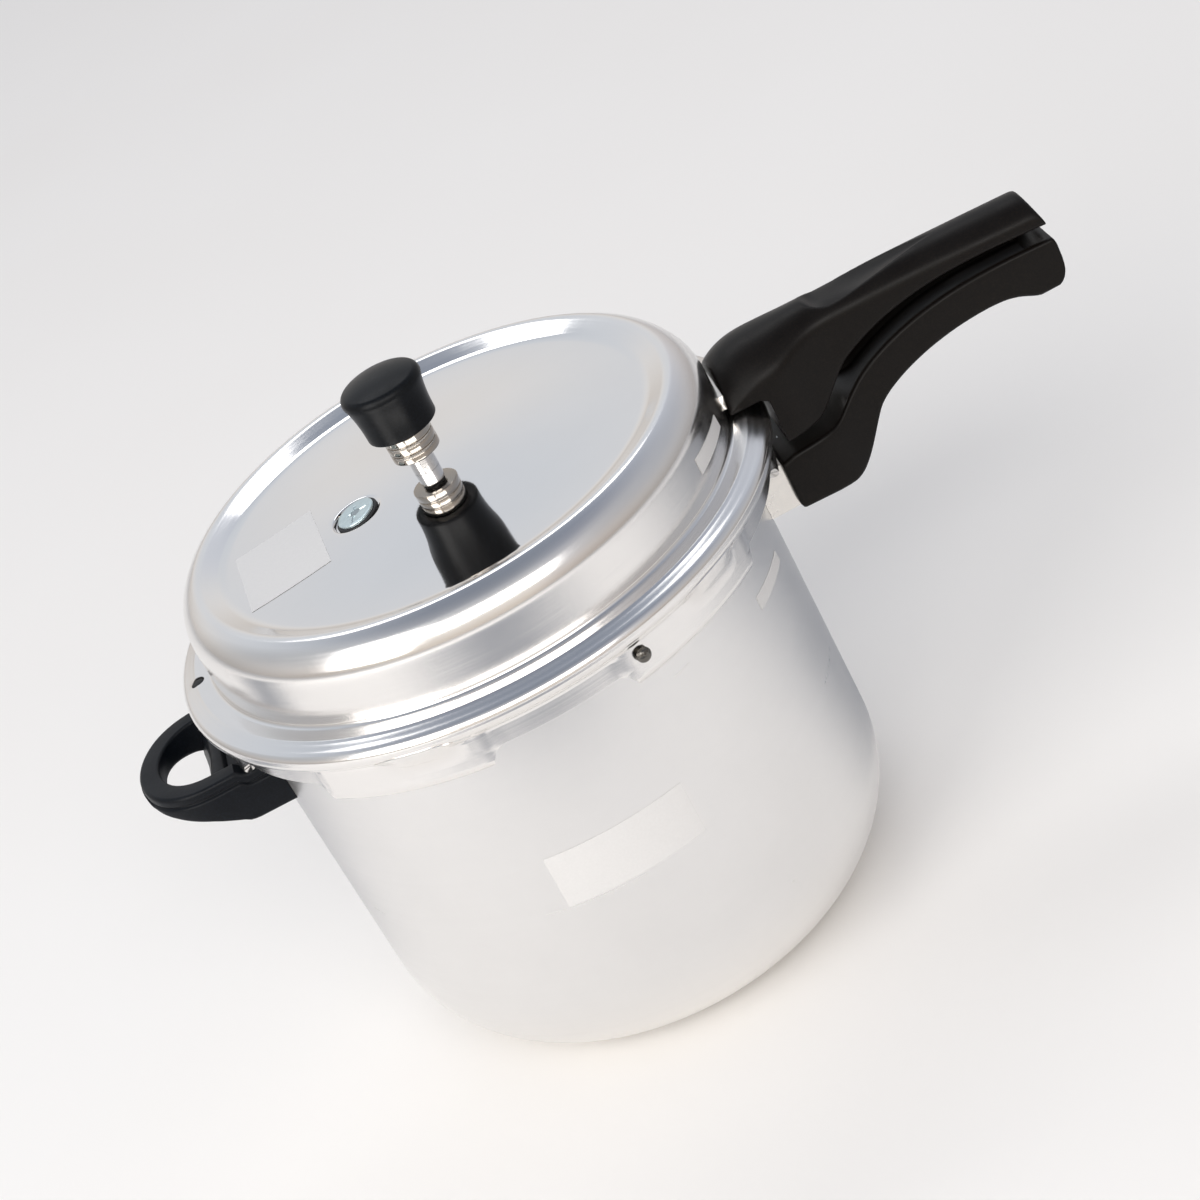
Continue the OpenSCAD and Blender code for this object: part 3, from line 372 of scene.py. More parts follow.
for radius, z, half in rows:
    fresh, edge_loop = grow(bm, edge_loop)
    for v in fresh:
        angle = bearing_of(v)
        off = lug_place(angle)
        to = off * half / half_now
        # the upper corners sweep out of the strip in an S
        sweep = (LUG_FACE - STRIP_R) * soft_step(abs(to), 16.0, 19.5) if z > 174 else 0.0
        v.co = on_ring(radius - sweep, angle - off + to, z)
    half_now = half


def punch(bm, x, y, clear, lowest, ring):
    """Takes out the faces near (x, y) and joins the hole to a round ring of points."""
    def near(p, reach):
        """Whether a point of the upper sheet lies within reach of (x, y)."""
        return p.z > lowest and math.hypot(p.x - x, p.y - y) < reach

    gone = [f for f in bm.faces if near(f.calc_center_median(), clear)]
    bmesh.ops.delete(bm, geom=gone, context="FACES")
    rim = [e for e in bm.edges if e.is_boundary and near(e.verts[0].co, clear * 1.5)]
    verts = [bm.verts.new(p) for p in ring]
    circle = [bm.edges.new(pair) for pair in zip(verts, verts[1:] + verts[:1])]
    bmesh.ops.bridge_loops(bm, edges=rim + circle)
    return circle


# the plug's seat: a round hollow with a flat, tilted floor
PLUG_OUT = 32
PLUG_BEARING = math.radians(187)
PLUG_TILT = math.radians(9)
SEAT_DEPTH = 1.2
plug_turn = (Matrix.Rotation(PLUG_BEARING, 4, "Z")
             @ Matrix.Translation((PLUG_OUT, 0, panel_height(PLUG_OUT) - SEAT_DEPTH))
             @ Matrix.Rotation(PLUG_TILT, 4, "Y"))
seat = plug_turn.to_translation()


def seat_point(radius, a, fall):
    """A point of the plug's seat: fall 0 lies on the panel, 1 on the seat's floor."""
    low = plug_turn @ Vector((radius * math.cos(a), radius * math.sin(a), 0))
    top = panel_height(low.xy.length)
    return Vector((low.x, low.y, top + (low.z - top) * fall))


rim = [seat_point(11.6, math.tau * i / 96, 0) for i in range(96)]
circle = punch(bm, seat.x, seat.y, 13.2, 220, rim)
for radius, fall in ((11.2, 0.03), (10.9, 0.12), (10.6, 0.32), (10.35, 0.6), (10.15, 0.85),
                     (9.95, 0.97), (9.7, 1.0), (4.7, 1.0)):
    fresh, circle = grow(bm, circle)
    for v in fresh:
        local = plug_turn.inverted() @ v.co
        v.co = seat_point(radius, math.atan2(local.y, local.x), fall)

# the gasket's release window, an oval through the corner of the ledge
WINDOW = Vector((-118.6, -2.2, 0))
WINDOW_HALF = (3.0, 3.1)


def release_ring(size, sunk, n=32):
    """Points of the oval window, drawn in by size and sunk under the lid's surface."""
    out = []
    for i in range(n):
        a = math.tau * i / n
        p = WINDOW + size * Vector((WINDOW_HALF[0] * math.cos(a), WINDOW_HALF[1] * math.sin(a), 0))
        p.z = LEDGE_Z - max(0.0, p.length - 119.0) * 0.36 - sunk
        out.append(p)
    return out


punch(bm, WINDOW.x, WINDOW.y, 5.0, 190, release_ring(1.0, 0.0))

lid = finish_piece(bm, "lid_pressing", "lid", ["lid_shell"], 42.0)
wall = lid.modifiers.new("sheet", "SOLIDIFY")
wall.thickness = LID_SHEET * MM
wall.offset = -1.0
wall.use_even_offset = True
ease = lid.modifiers.new("ease", "BEVEL")
ease.width = 0.35 * MM
ease.segments = 2
ease.limit_method = "ANGLE"
ease.angle_limit = math.radians(60)


def aluminium(name, tint, shine, blur, ring_gap, streak, brushed, panel=None):
    """Buffed aluminium: rings of the buffing wheel about the Z axis, drawn coarser than the
    real ones so that they show, cloudy smudges, and within the panel a near mirror."""
    mat, tree = new_material(name)
    coords = add(tree, "ShaderNodeTexCoord")
    split = add(tree, "ShaderNodeSeparateXYZ", {"Vector": coords.outputs["Object"]})
    radius = add(tree, "ShaderNodeVectorMath", {0: coords.outputs["Object"], 1: (1, 1, 0)},
                 operation="MULTIPLY")
    radius = add(tree, "ShaderNodeVectorMath", {0: radius.outputs[0]}, operation="LENGTH")
    lathe = add(tree, "ShaderNodeCombineXYZ", {
        "X": radius.outputs["Value"], "Z": split.outputs["Z"]})
    fine = add(tree, "ShaderNodeTexNoise", {
        "Vector": lathe.outputs[0], "Scale": per_metre(ring_gap), "Detail": 3.0,
        "Roughness": 0.6})
    # smudges about 45 mm wide
    cloud = add(tree, "ShaderNodeTexNoise", {
        "Vector": coords.outputs["Object"], "Scale": per_metre(45.45), "Detail": 4.0,
        "Roughness": 0.62})
    gloss = add(tree, "ShaderNodeMapRange", {
        "Value": fine.outputs["Fac"], "From Min": 0.3, "From Max": 0.7,
        "To Min": shine, "To Max": blur})
    smudge = add(tree, "ShaderNodeMapRange", {
        "Value": cloud.outputs["Fac"], "From Min": 0.35, "From Max": 0.75,
        "To Min": -0.02, "To Max": 0.05})
    rough = add(tree, "ShaderNodeMath", {0: gloss.outputs[0], 1: smudge.outputs[0]},
                operation="ADD")
    grain = brushed
    if panel:
        inside = add(tree, "ShaderNodeMapRange", {
            "Value": radius.outputs["Value"], "From Min": panel[0] * MM,
            "From Max": panel[1] * MM, "To Min": 1.0, "To Max": 0.0})
        haze = add(tree, "ShaderNodeMapRange", {
            "Value": cloud.outputs["Fac"], "From Min": 0.4, "From Max": 0.8,
            "To Min": 0.03, "To Max": 0.07})
        rough = add(tree, "ShaderNodeMix", {
            "Factor": inside.outputs[0], "A": rough.outputs[0], "B": haze.outputs[0]})
        grain = add(tree, "ShaderNodeMath", {0: 1.0, 1: inside.outputs[0]},
                    operation="SUBTRACT")
        grain = add(tree, "ShaderNodeMath", {0: grain.outputs[0], 1: brushed},
                    operation="MULTIPLY").outputs[0]
    tone = add(tree, "ShaderNodeMix", {
        "Factor": cloud.outputs["Fac"], "A": to_linear(tint[0]), "B": to_linear(tint[1])},
        data_type="RGBA")
    bump = add(tree, "ShaderNodeBump", {
        "Height": fine.outputs["Fac"], "Strength": streak, "Distance": 0.02 * MM})
    lay = add(tree, "ShaderNodeTangent", direction_type="RADIAL", axis="Z")
    skin = add(tree, "ShaderNodeBsdfPrincipled", {
        "Base Color": tone.outputs["Result"], "Metallic": 1.0, "Roughness": rough.outputs[0],
        "Anisotropic": grain, "Tangent": lay.outputs["Tangent"],
        "Normal": bump.outputs["Normal"]})
    add(tree, "ShaderNodeOutputMaterial", {"Surface": skin.outputs[0]})
    return mat


# wheel-buffed sheet: near mirror on the panel, brushed streaks of light on the walls
lid.data.materials.append(aluminium(
    "buffed_aluminium", ("eeecea", "f4f2f0"), 0.13, 0.22, 1.111, 0.25, 0.45, (88, 100)))

# ------------------------------------------------------------------ gasket in the window
# The lip of the moulded black rubber gasket under the lid's flange. It is pressed up from
# below into the lid's release window, and ends just under the window's edge.


def loft(bm, rings):
    """Skins a row of rings of equal point counts and closes both ends."""
    n = len(rings[0])
    verts = [bm.verts.new(p) for p in rings[0]]
    edges = [bm.edges.new((verts[i], verts[(i + 1) % n])) for i in range(n)]
    first = edges
    for ring in rings[1:]:
        fresh, _ = grow(bm, edges)
        verts = [next(e.other_vert(v) for e in v.link_edges if e.other_vert(v) in fresh)
                 for v in verts]
        for v, p in zip(verts, ring):
            v.co = p
        edges = [bm.edges.get((verts[i], verts[(i + 1) % n])) for i in range(n)]
    for loop in (first, edges):
        bmesh.ops.edgeloop_fill(bm, edges=loop)


bm = bmesh.new()
loft(bm, [release_ring(size, sunk) for size, sunk in (
    (0.94, 2.5), (0.94, 1.1), (0.9, 0.8), (0.8, 0.6), (0.55, 0.45), (0.25, 0.4), (0.08, 0.38))])
window_lip = finish_piece(bm, "gasket_window_lip", "lid", [], 40.0)


def mottled(name, tint, shade, patch, gloss, grain=None, spread=(0.3, 0.7), detail=3.0,
            edge=0.5, **settings):
    """A skin of two tones in patches of so many millimetres. Its gloss is one roughness, or
    a low and a high one that follow the patches; its grain is a bump's strength and depth."""
    mat, tree = new_material(name)
    coords = add(tree, "ShaderNodeTexCoord")
    patches = add(tree, "ShaderNodeTexNoise", {
        "Vector": coords.outputs["Object"], "Scale": per_metre(patch), "Detail": detail,
        "Roughness": edge})
    tone = add(tree, "ShaderNodeMix", {
        "Factor": patches.outputs["Fac"], "A": to_linear(tint), "B": to_linear(shade)},
        data_type="RGBA")
    if isinstance(gloss, tuple):
        gloss = add(tree, "ShaderNodeMapRange", {
            "Value": patches.outputs["Fac"], "From Min": spread[0], "From Max": spread[1],
            "To Min": gloss[0], "To Max": gloss[1]}).outputs[0]
    if grain:
        settings["Normal"] = add(tree, "ShaderNodeBump", {
            "Height": patches.outputs["Fac"], "Strength": grain[0],
            "Distance": grain[1] * MM}).outputs["Normal"]
    skin = add(tree, "ShaderNodeBsdfPrincipled", {
        "Base Color": tone.outputs["Result"], "Roughness": gloss, **settings})
    add(tree, "ShaderNodeOutputMaterial", {"Surface": skin.outputs[0]})
    return mat


# moulded rubber: matt black with a fine bloom
window_lip.data.materials.append(mottled("moulded_rubber", "121315", "191a1d", 1.429, 0.7))

# ------------------------------------------------------------------ pot
# Drawn from one thick aluminium disc and satin-finished outside: flat base, round corner,
# straight wall, a rolled rim and six pressed lugs just under it for the lid's bayonet.
POT_R = 110.0
POT_IN = 106.8
BASE_R = 60.0
BASE_THICK = 4.0
POT_TOP = 190.3
LUG_HALF = 12.15

outside = [(BASE_R * i / 10, 0) for i in range(10)]
outside += arc(BASE_R, 50, 50, -90, 0, 36)
outside += [(POT_R, z) for z in (62, 80, 100, 120, 136, 150, 160, 168, 172, 174.2)]
# the rows under the rim, and the hooked section that they take at each lug
wall = [(POT_R, 176.5 + 0.55 * i) for i in range(13)]
hook = [(110.0, 182.6), (113.0, 182.6), (113.5, 182.3), (113.6, 181.7), (113.6, 175.0),
        (113.8, 174.5), (114.2, 174.4), (115.9, 174.4), (116.3, 174.6), (116.4, 175.1),
        (116.4, 183.6), (116.0, 185.0), (114.9, 185.5)]
rim = [(111.0, 185.3), (112.1, 185.7), (112.6, 186.6), (112.6, 189.3), (112.3, 190.0),
       (111.7, POT_TOP), (107.7, POT_TOP), (107.1, 190.1), (POT_IN, 189.5)]
inside = [(POT_IN, z) for z in (186, 178, 160, 140, 120, 100, 80, 64)]
inside += arc(BASE_R, 50.8, 46.8, 0, -90, 30)
inside += [(BASE_R * i / 8, BASE_THICK) for i in range(7, -1, -1)]
bm = bmesh.new()
spin_profile(bm, outside + wall + rim + inside, ROUND_STEPS, math.radians(LUG_TURN))
hooked = {round(z, 3): i for i, (r, z) in enumerate(wall)}
for v in bm.verts:
    i = hooked.get(round(v.co.z, 3))
    if i is not None and abs(v.co.xy.length - POT_R) < 0.01:
        angle = bearing_of(v)
        off = lug_place(angle)
        if abs(off) < 13.0:
            # the columns nearest the lug's end become its side
            in_lug = abs(off) < 11.9
            if abs(off) > 10.6:
                angle += math.copysign(LUG_HALF + (-0.25 if in_lug else 0.1) - abs(off), off)
            r, z = hook[i] if in_lug else (POT_R, v.co.z)
            v.co = on_ring(r, angle, z)
pot = finish_piece(bm, "pot_drawing", "pot", ["body_pot"], 38.0)

# satin-blasted and spun sheet: broad soft highlights with faint rings and handling smudges
pot.data.materials.append(aluminium(
    "satin_spun_aluminium", ("e8e7e6", "f1f0ef"), 0.28, 0.38, 2.381, 0.22, 0.55))

# ------------------------------------------------------------------ weight
# A turned and polished steel collar with two fine grooves, pressed into a moulded black
# phenolic cap that flares towards a softly rounded crown.
WEIGHT_Z = 239.8
COLLAR_R = 9.8
BORE_R = 4.4
CAP_Z = 252.0
CAP_TOP = 275.4

line = [(BORE_R, WEIGHT_Z + 6), (BORE_R, WEIGHT_Z + 0.3), (BORE_R + 0.4, WEIGHT_Z)]
line += arc(COLLAR_R - 0.6, WEIGHT_Z + 0.6, 0.6, -90, 0, 5)
for groove in (4.1, 8.0):
    half_groove = [(COLLAR_R - 0.5, 0.15), (COLLAR_R - 0.44, 0.3), (COLLAR_R - 0.06, 0.42),
                   (COLLAR_R, 0.55)]
    line += [(r, WEIGHT_Z + groove - z) for r, z in reversed(half_groove)]
    line += [(r, WEIGHT_Z + groove + z) for r, z in half_groove]
line += [(COLLAR_R, CAP_Z - 1.0), (COLLAR_R, CAP_Z + 1.4), (6.0, CAP_Z + 1.4), line[0]]
bm = bmesh.new()
spin_profile(bm, line, 160)
collar = finish_piece(bm, "weight_collar", "weight", ["weight_body"], 30.0)

# polished turned steel: a clear, slightly warm mirror with duller patches, broken by tool
# rings 0.7 mm apart, which is coarser than the real ones, so that they show
mat, tree = new_material("polished_turned_steel")
coords = add(tree, "ShaderNodeTexCoord")
split = add(tree, "ShaderNodeSeparateXYZ", {"Vector": coords.outputs["Object"]})
lathe = add(tree, "ShaderNodeCombineXYZ", {"Z": split.outputs["Z"]})
fine = add(tree, "ShaderNodeTexNoise", {
    "Vector": lathe.outputs[0], "Scale": per_metre(0.7143), "Detail": 3.0})
cloud = add(tree, "ShaderNodeTexNoise", {
    "Vector": coords.outputs["Object"], "Scale": per_metre(6.25), "Detail": 3.0})
dull = add(tree, "ShaderNodeMapRange", {
    "Value": cloud.outputs["Fac"], "From Min": 0.35, "From Max": 0.7,
    "To Min": 0.05, "To Max": 0.12})
bump = add(tree, "ShaderNodeBump", {
    "Height": fine.outputs["Fac"], "Strength": 0.35, "Distance": 0.01 * MM})
skin = add(tree, "ShaderNodeBsdfPrincipled", {
    "Base Color": to_linear("bcb6ae"), "Metallic": 1.0, "Roughness": dull.outputs[0],
    "Normal": bump.outputs["Normal"]})
add(tree, "ShaderNodeOutputMaterial", {"Surface": skin.outputs[0]})
collar.data.materials.append(mat)

line = [(0, CAP_Z + 2.4), (9.9, CAP_Z + 2.4), (9.9, CAP_Z + 0.3), (10.2, CAP_Z)]
line += arc(13.4, CAP_Z + 0.9, 0.9, -90, 0, 6)
line += [(14.36, CAP_Z + 3), (14.42, CAP_Z + 5), (14.55, CAP_Z + 7), (14.8, CAP_Z + 9.4),
         (15.15, CAP_Z + 12), (15.55, CAP_Z + 14), (16.05, CAP_Z + 15.8), (16.4, CAP_Z + 16.9)]
line += arc(13.25, CAP_Z + 18.1, 3.4, 0, 64, 14)
line += [(r, CAP_TOP - 2.3 * (r / 14.85) ** 2.4)
         for r in (14.2, 13.2, 12, 10.5, 9, 7.5, 6, 4.5, 3, 1.5, 0)]
bm = bmesh.new()
spin_profile(bm, line, 160)
cap = finish_piece(bm, "weight_cap_moulding", "weight", ["weight_cap"], 50.0)


def phenolic(name, tint, shade, low, high, grain):
    """Compression-moulded phenolic: a hard black resin with a pebbled skin, duller where
    hands have rubbed it, and wood-flour specks drawn 0.6 mm wide so that they show."""
    mat, tree = new_material(name)
    coords = add(tree, "ShaderNodeTexCoord")
    flour = add(tree, "ShaderNodeTexNoise", {
        "Vector": coords.outputs["Object"], "Scale": per_metre(0.625), "Detail": 2.0})
    cloud = add(tree, "ShaderNodeTexNoise", {
        "Vector": coords.outputs["Object"], "Scale": per_metre(22.22), "Detail": 4.0,
        "Roughness": 0.6})
    pebble = add(tree, "ShaderNodeTexNoise", {
        "Vector": coords.outputs["Object"], "Scale": per_metre(1.111), "Detail": 2.0})
    specks = add(tree, "ShaderNodeMapRange", {
        "Value": flour.outputs["Fac"], "From Min": 0.45, "From Max": 0.72})
    tone = add(tree, "ShaderNodeMix", {
        "Factor": specks.outputs[0], "A": to_linear(tint), "B": to_linear(shade)},
        data_type="RGBA")
    dull = add(tree, "ShaderNodeMapRange", {
        "Value": cloud.outputs["Fac"], "From Min": 0.35, "From Max": 0.7,
        "To Min": low, "To Max": high})
    bump = add(tree, "ShaderNodeBump", {
        "Height": pebble.outputs["Fac"], "Strength": grain, "Distance": 0.05 * MM})
    skin = add(tree, "ShaderNodeBsdfPrincipled", {
        "Base Color": tone.outputs["Result"], "Roughness": dull.outputs[0],
        "Specular IOR Level": 0.17, "Normal": bump.outputs["Normal"]})
    add(tree, "ShaderNodeOutputMaterial", {"Surface": skin.outputs[0]})
    return mat


# cap resin: blue-black, a soft sheen on the flare and crown
cap.data.materials.append(phenolic("phenolic_weight_cap", "080a0d", "101419", 0.3, 0.42, 0.35))

# ------------------------------------------------------------------ safety plug
# A cast zinc plug: its pale head is stamped with an uneven four-armed mark and sits on a
# black rubber ring in the panel's tilted hollow.
RING_IN = 4.7
SHANK_R = 4.5
CORE_R = 2.05
HEAD_TOP = 2.1
STAMP_DEPTH = 0.5

bm = bmesh.new()
spin_profile(bm, [(RING_IN, 0.05)] + arc(8.75, 0.5, 0.45, -90, 90, 10)
             + [(RING_IN, 0.95), (RING_IN, 0.05)], 128)
bmesh.ops.transform(bm, matrix=plug_turn, verts=bm.verts)
ring = finish_piece(bm, "plug_seal", "lid", ["plug_ring"], 50.0)

line = [(SHANK_R, -8.5), (SHANK_R, 1.0), (7.9, 1.0)] + arc(7.6, 1.5, 0.5, -60, 60, 6)
line += [(7.3, 2.02)] + [(7.0 - 0.25 * i, HEAD_TOP) for i in range(20)]
line += [(2.15, 2.05), (CORE_R, 1.9), (CORE_R, -8.5), line[0]]
bm = bmesh.new()
spin_profile(bm, line, 128)
# each arm of the stamp: its bearing, its reach and its half width
for v in bm.verts:
    if v.co.z > 1.95 and 2.1 < v.co.xy.length < 7.1:
        for bearing, reach, half in (
                (63, 6.4, 0.62), (253, 4.4, 0.55), (163, 5.2, 0.6), (343, 3.4, 0.5)):
            arm = Matrix.Rotation(math.radians(-bearing), 2) @ v.co.xy
            if arm.x > 0:
                sunk = 1 - soft_step(abs(arm.y), half * 0.6, half * 1.3)
                sunk *= 1 - soft_step(arm.x, reach - 0.5, reach + 0.3)
                v.co.z = min(v.co.z, HEAD_TOP - STAMP_DEPTH * sunk)
bmesh.ops.transform(bm, matrix=plug_turn, verts=bm.verts)
head = finish_piece(bm, "plug_casting", "lid", ["plug_body"], 30.0)

# moulded nitrile ring: dull black with a faint bloom
ring.data.materials.append(mottled(
    "moulded_rubber_ring", "121214", "26272a", 2.632, 0.6, IOR=1.52))
# cast and stamped zinc: pale blue-grey skin, soft and slightly mottled
head.data.materials.append(mottled(
    "stamped_zinc", "b9c9cd", "d6e4e6", 2.381, (0.24, 0.42), grain=(0.3, 0.05),
    spread=(0.0, 1.0), detail=4.0, Metallic=0.85))

# ------------------------------------------------------------------ upper handle
# Moulded in one piece of black phenolic: a wide root cut back to the lid, a notch over the
# lid's edge, a crowned grip with a thumb scoop, drawn here slice by slice along X.
LID_FRONT = 113.5
UPPER_ROOT = 113.7
NOTCH_X = 127.4
UPPER_END = 254.1
ROOT_HALF = 21.5
GRIP_HALF = 13.25
GRIP_CROWN = 14.8
SCOOP_X = (155.5, 166, 213)
SCOOP_HALF = 9.6
SCOOP_DEPTH = 3.0


def bezier(a, b, c, d, n):
    """Points of the cubic curve from a to d with handles b and c."""
    out = []
    for i in range(n + 1):
        t = i / n
        w = ((1 - t) ** 3, 3 * t * (1 - t) ** 2, 3 * t * t * (1 - t), t ** 3)
        out.append(tuple(sum(w[k] * (a, b, c, d)[k][j] for k in range(4)) for j in (0, 1)))
    return out


def along(x, points):
    """Height of a line of (x, height) points at x."""
    for (x0, z0), (x1, z1) in zip(points, points[1:]):
        if x <= x1:
            return z0 + (z1 - z0) * max(0.0, (x - x0) / max(1e-6, x1 - x0))
    return points[-1][1]


def grip_half(x, root):
    """Half width of both main handles: wide at the root, slim from 48 mm further out."""
    if x < root + 16:
        return ROOT_HALF
    waist = bezier((root + 16, ROOT_HALF), (root + 28, ROOT_HALF), (root + 32, GRIP_HALF),
                   (root + 48, GRIP_HALF), 16)
    return along(x, waist) + 0.4 * soft_step(x, 205, 250)


def rounded(cy, cz, r, a0, step, n):
    """n points round an edge of radius r about (cy, cz), by equal steps in degrees."""
    return [(cy + r * math.cos(math.radians(a0 + step * i)),
             cz + r * math.sin(math.radians(a0 + step * i))) for i in range(n)]


def both_sides(side):
    """A closed section: its right half, then the same points mirrored."""
    return side + [(-y, z) for y, z in reversed(side[1:-1])]


def crowned(half, top, low, crown, ease, foot):
    """Right half of a crowned section from the bottom's middle to the top's middle."""
    out = [(0, low), (half * 0.45, low), (half * 0.8, low)]
    out += rounded(half - foot, low + foot, foot, -90, 22.5, 5)
    y0 = half - ease
    dip = math.sqrt(crown * crown - y0 * y0)
    drop, slope = crown - dip, y0 / dip
    corner = max(top - drop - ease * slope, low + foot + 0.2)
    under = max(corner - ease, low + foot + 0.1)
    out += [(half, low + foot + (under - low - foot) * t) for t in (0.33, 0.66)]
    out += reversed(bezier((y0, top - drop), (half - ease * 0.35, corner + ease * slope * 0.35),
                           (half, corner), (half, under), 8))
    out += [(y0 * t, top - crown + math.sqrt(crown * crown - (y0 * t) ** 2)) for t in
            (0.93, 0.86, 0.79, 0.72, 0.65, 0.58, 0.51, 0.44, 0.37, 0.3, 0.23, 0.16, 0.08, 0)]
    return out


upper_top = bezier((113.4, 213.1), (118, 217.2), (123, 219.4), (133, 219.4), 16)
upper_top += bezier((157.5, 219.4), (183.5, 219.4), (213.5, 218.2), (247.0, 216.5), 20)
upper_top += bezier((247.0, 216.5), (249.2, 216.4), (250.2, 215.6), (250.8, 213.6), 6)
upper_low = [(128.8, 178.4)]
upper_low += bezier((142.2, 179.0), (147.6, 179.8), (152.8, 187.0), (161.4, 193.7), 12)
upper_low += bezier((161.4, 193.7), (173.4, 200.3), (190, 206.2), (218, 206.2), 16)
upper_low += bezier((218, 206.2), (232, 206.2), (245.5, 204.9), (UPPER_END, 203.7), 8)
notch_low = [(124.4, 199.7), (127.4, 197.7)]


def upper_slice(x, inset=0.0):
    """The upper handle's section at x, drawn in by inset."""
    top = along(x, upper_top) - inset
    low = along(x, notch_low if x < NOTCH_X else upper_low) + inset
    half = grip_half(x, UPPER_ROOT) - inset
    # the crown is flatter over the wide root
    crown = GRIP_CROWN + 9.2 * max(0.0, (half - GRIP_HALF) / (ROOT_HALF - GRIP_HALF))
    ease = 0.6 + 3.9 * soft_step(x, 117, 132)
    foot = 1.2 + 0.6 * soft_step(x, 140, 165)
    lean = 3.5 * soft_step(x, 236, 250)
    out = []
    for y, z in both_sides(crowned(half, top, low, crown, ease, foot)):
        # the front follows the lid's round wall
        back = (LID_FRONT - math.sqrt(LID_FRONT ** 2 - y * y)) * (1 - soft_step(x, 114, 122))
        # thumb scoop: a teardrop, steep at its round end and fading outwards
        start, widest, end = SCOOP_X
        if start < x < end and z > top - 8:
            if x < widest:
                reach = SCOOP_HALF * math.sqrt(1 - ((widest - x) / (widest - start)) ** 2)
            else:
                reach = SCOOP_HALF * (1 - ((x - widest) / (end - widest)) ** 1.5)
            if abs(y) < reach:
                z -= (SCOOP_DEPTH * (1 - (y / reach) ** 2) * (1 - soft_step(x, 175, end)) ** 0.7
                      * soft_step(x, start, 161))
        out.append((x - back + lean * (top - z) / 12.5, y, z))
    return out


# each section's place, and how far the end ones are drawn in to round the two ends
places = [(113.5, 1.0), (113.75, 0.4)]
places += [(x, 0) for x in (114.3, 115.5, 117, 118.5, 120, 121.5, 123, 124.4, 126, 127.38,
                            127.4, 128.2, 128.8, 130, 132, 134.5, 137, 139.5, 142, 144, 146,
                            148, 150, 152, 154)]
places += [(155 + 0.9 * i, 0) for i in range(13)] + [(168 + 2.0 * i, 0) for i in range(24)]
places += [(x, 0) for x in (218, 222, 226, 230, 234, 238, 241, 244, 246, 247.5, 248.6, 249.4)]
places += [(249.9, 0.15), (250.3, 0.5), (250.55, 1.0), (250.65, 1.7)]
bm = bmesh.new()
loft(bm, [upper_slice(x, inset) for x, inset in places])
upper = finish_piece(bm, "upper_handle_moulding", "lid", ["lid_handle"], 40.0)

# handle resin: warm brown-black, semi-gloss on the crown's edge, duller on the sides
handle_resin = phenolic("phenolic_handle", "0b0806", "15100c", 0.32, 0.46, 0.4)
upper.data.materials.append(handle_resin)

# ------------------------------------------------------------------ lower handle
# The same black phenolic: a deep root screwed over the pot's steel channel, then a slim
# grip that runs under the upper one and ends in a finger hook.
LOWER_ROOT = 121.0
LOWER_HEAD = 1.7
LOWER_FOOT = 2.0
TROUGH_DEPTH = 5.5
SCREW_X = 130.0
SCREW_POCKET_R = 4.7
SCREW_POCKET_DEPTH = 4.1

lower_top = [(LOWER_ROOT, 170.2), (121.6, 170.6), (122.5, 170.9), (127, 172.2)]
lower_top += bezier((146, 173.4), (150, 174.2), (153, 177.2), (159, 181.2), 8)
lower_top += reversed(bezier((252.7, 198.2), (232.1, 199.2), (188.6, 203.2), (159, 181.2), 24))
lower_top += [(253.4, 197.6), (253.9, 196.6), (254.1, 195.6)]
lower_low = [(LOWER_ROOT, 150.8), (121.5, 149.6), (122.6, 148.9), (124, 148.8)]
lower_low += bezier((145, 148.0), (154, 148.0), (161, 161.3), (167, 168.3), 12)
lower_low += bezier((167, 168.3), (174, 175.3), (194.6, 183.8), (220.6, 183.8), 16)
lower_low += bezier((220.6, 183.8), (233.6, 183.8), (235.6, 179.6), (241.1, 178.2), 8)
lower_low += [(249.1, 178.2), (250.6, 179.0), (251.9, 180.4), (252.9, 182.3), (253.6, 184.6),
              (254.0, 187.0), (254.1, 189.0)]


def lower_slice(x, inset=0.0):
    """The lower handle's section at x, drawn in by inset."""
    top = along(x, lower_top) - inset
    low = along(x, lower_low) + inset
    half = grip_half(x, LOWER_ROOT) - inset
    # a trough along the grip leaves a thin rim at each side
    sunk = TROUGH_DEPTH * soft_step(x, 152, 166) * (1 - soft_step(x, 244, 250))
    sunk *= min(1.0, (top - low) / 16)
    foot_z, head_z = low + LOWER_FOOT, top - LOWER_HEAD
    side = [(0, low), (half * 0.4, low), (half * 0.75, low)]
    side += rounded(half - LOWER_FOOT, foot_z, LOWER_FOOT, -90, 18, 6)
    side += [(half, foot_z + (head_z - foot_z) * t) for t in (0.25, 0.5, 0.75)]
    side += rounded(half - LOWER_HEAD, head_z, LOWER_HEAD, 0, 18, 6)
    side += [(half - 2.6, top), (half - 3.2, top - sunk), (half * 0.4, top - sunk),
             (0, top - sunk)]
    return [(x, y, z) for y, z in both_sides(side)]


places = [(121.0, 1.2), (121.25, 0.5)]
places += [(x, 0) for x in (121.9, 122.6, 124, 127, 130, 134, 138, 142, 145, 146.5)]
places += [(148 + 1.5 * i, 0) for i in range(18)] + [(176 + 3 * i, 0) for i in range(15)]
places += [(x, 0) for x in (220.6, 223, 226, 228, 230, 232, 234, 236, 238, 239.5, 241.1, 244,
                            247, 249.1, 250.6, 251.9, 252.7, 253.2)]
places += [(253.6, 0.3), (253.9, 0.8), (254.05, 1.5)]
bm = bmesh.new()
loft(bm, [lower_slice(x, inset) for x, inset in places])
bmesh.ops.recalc_face_normals(bm, faces=bm.faces)

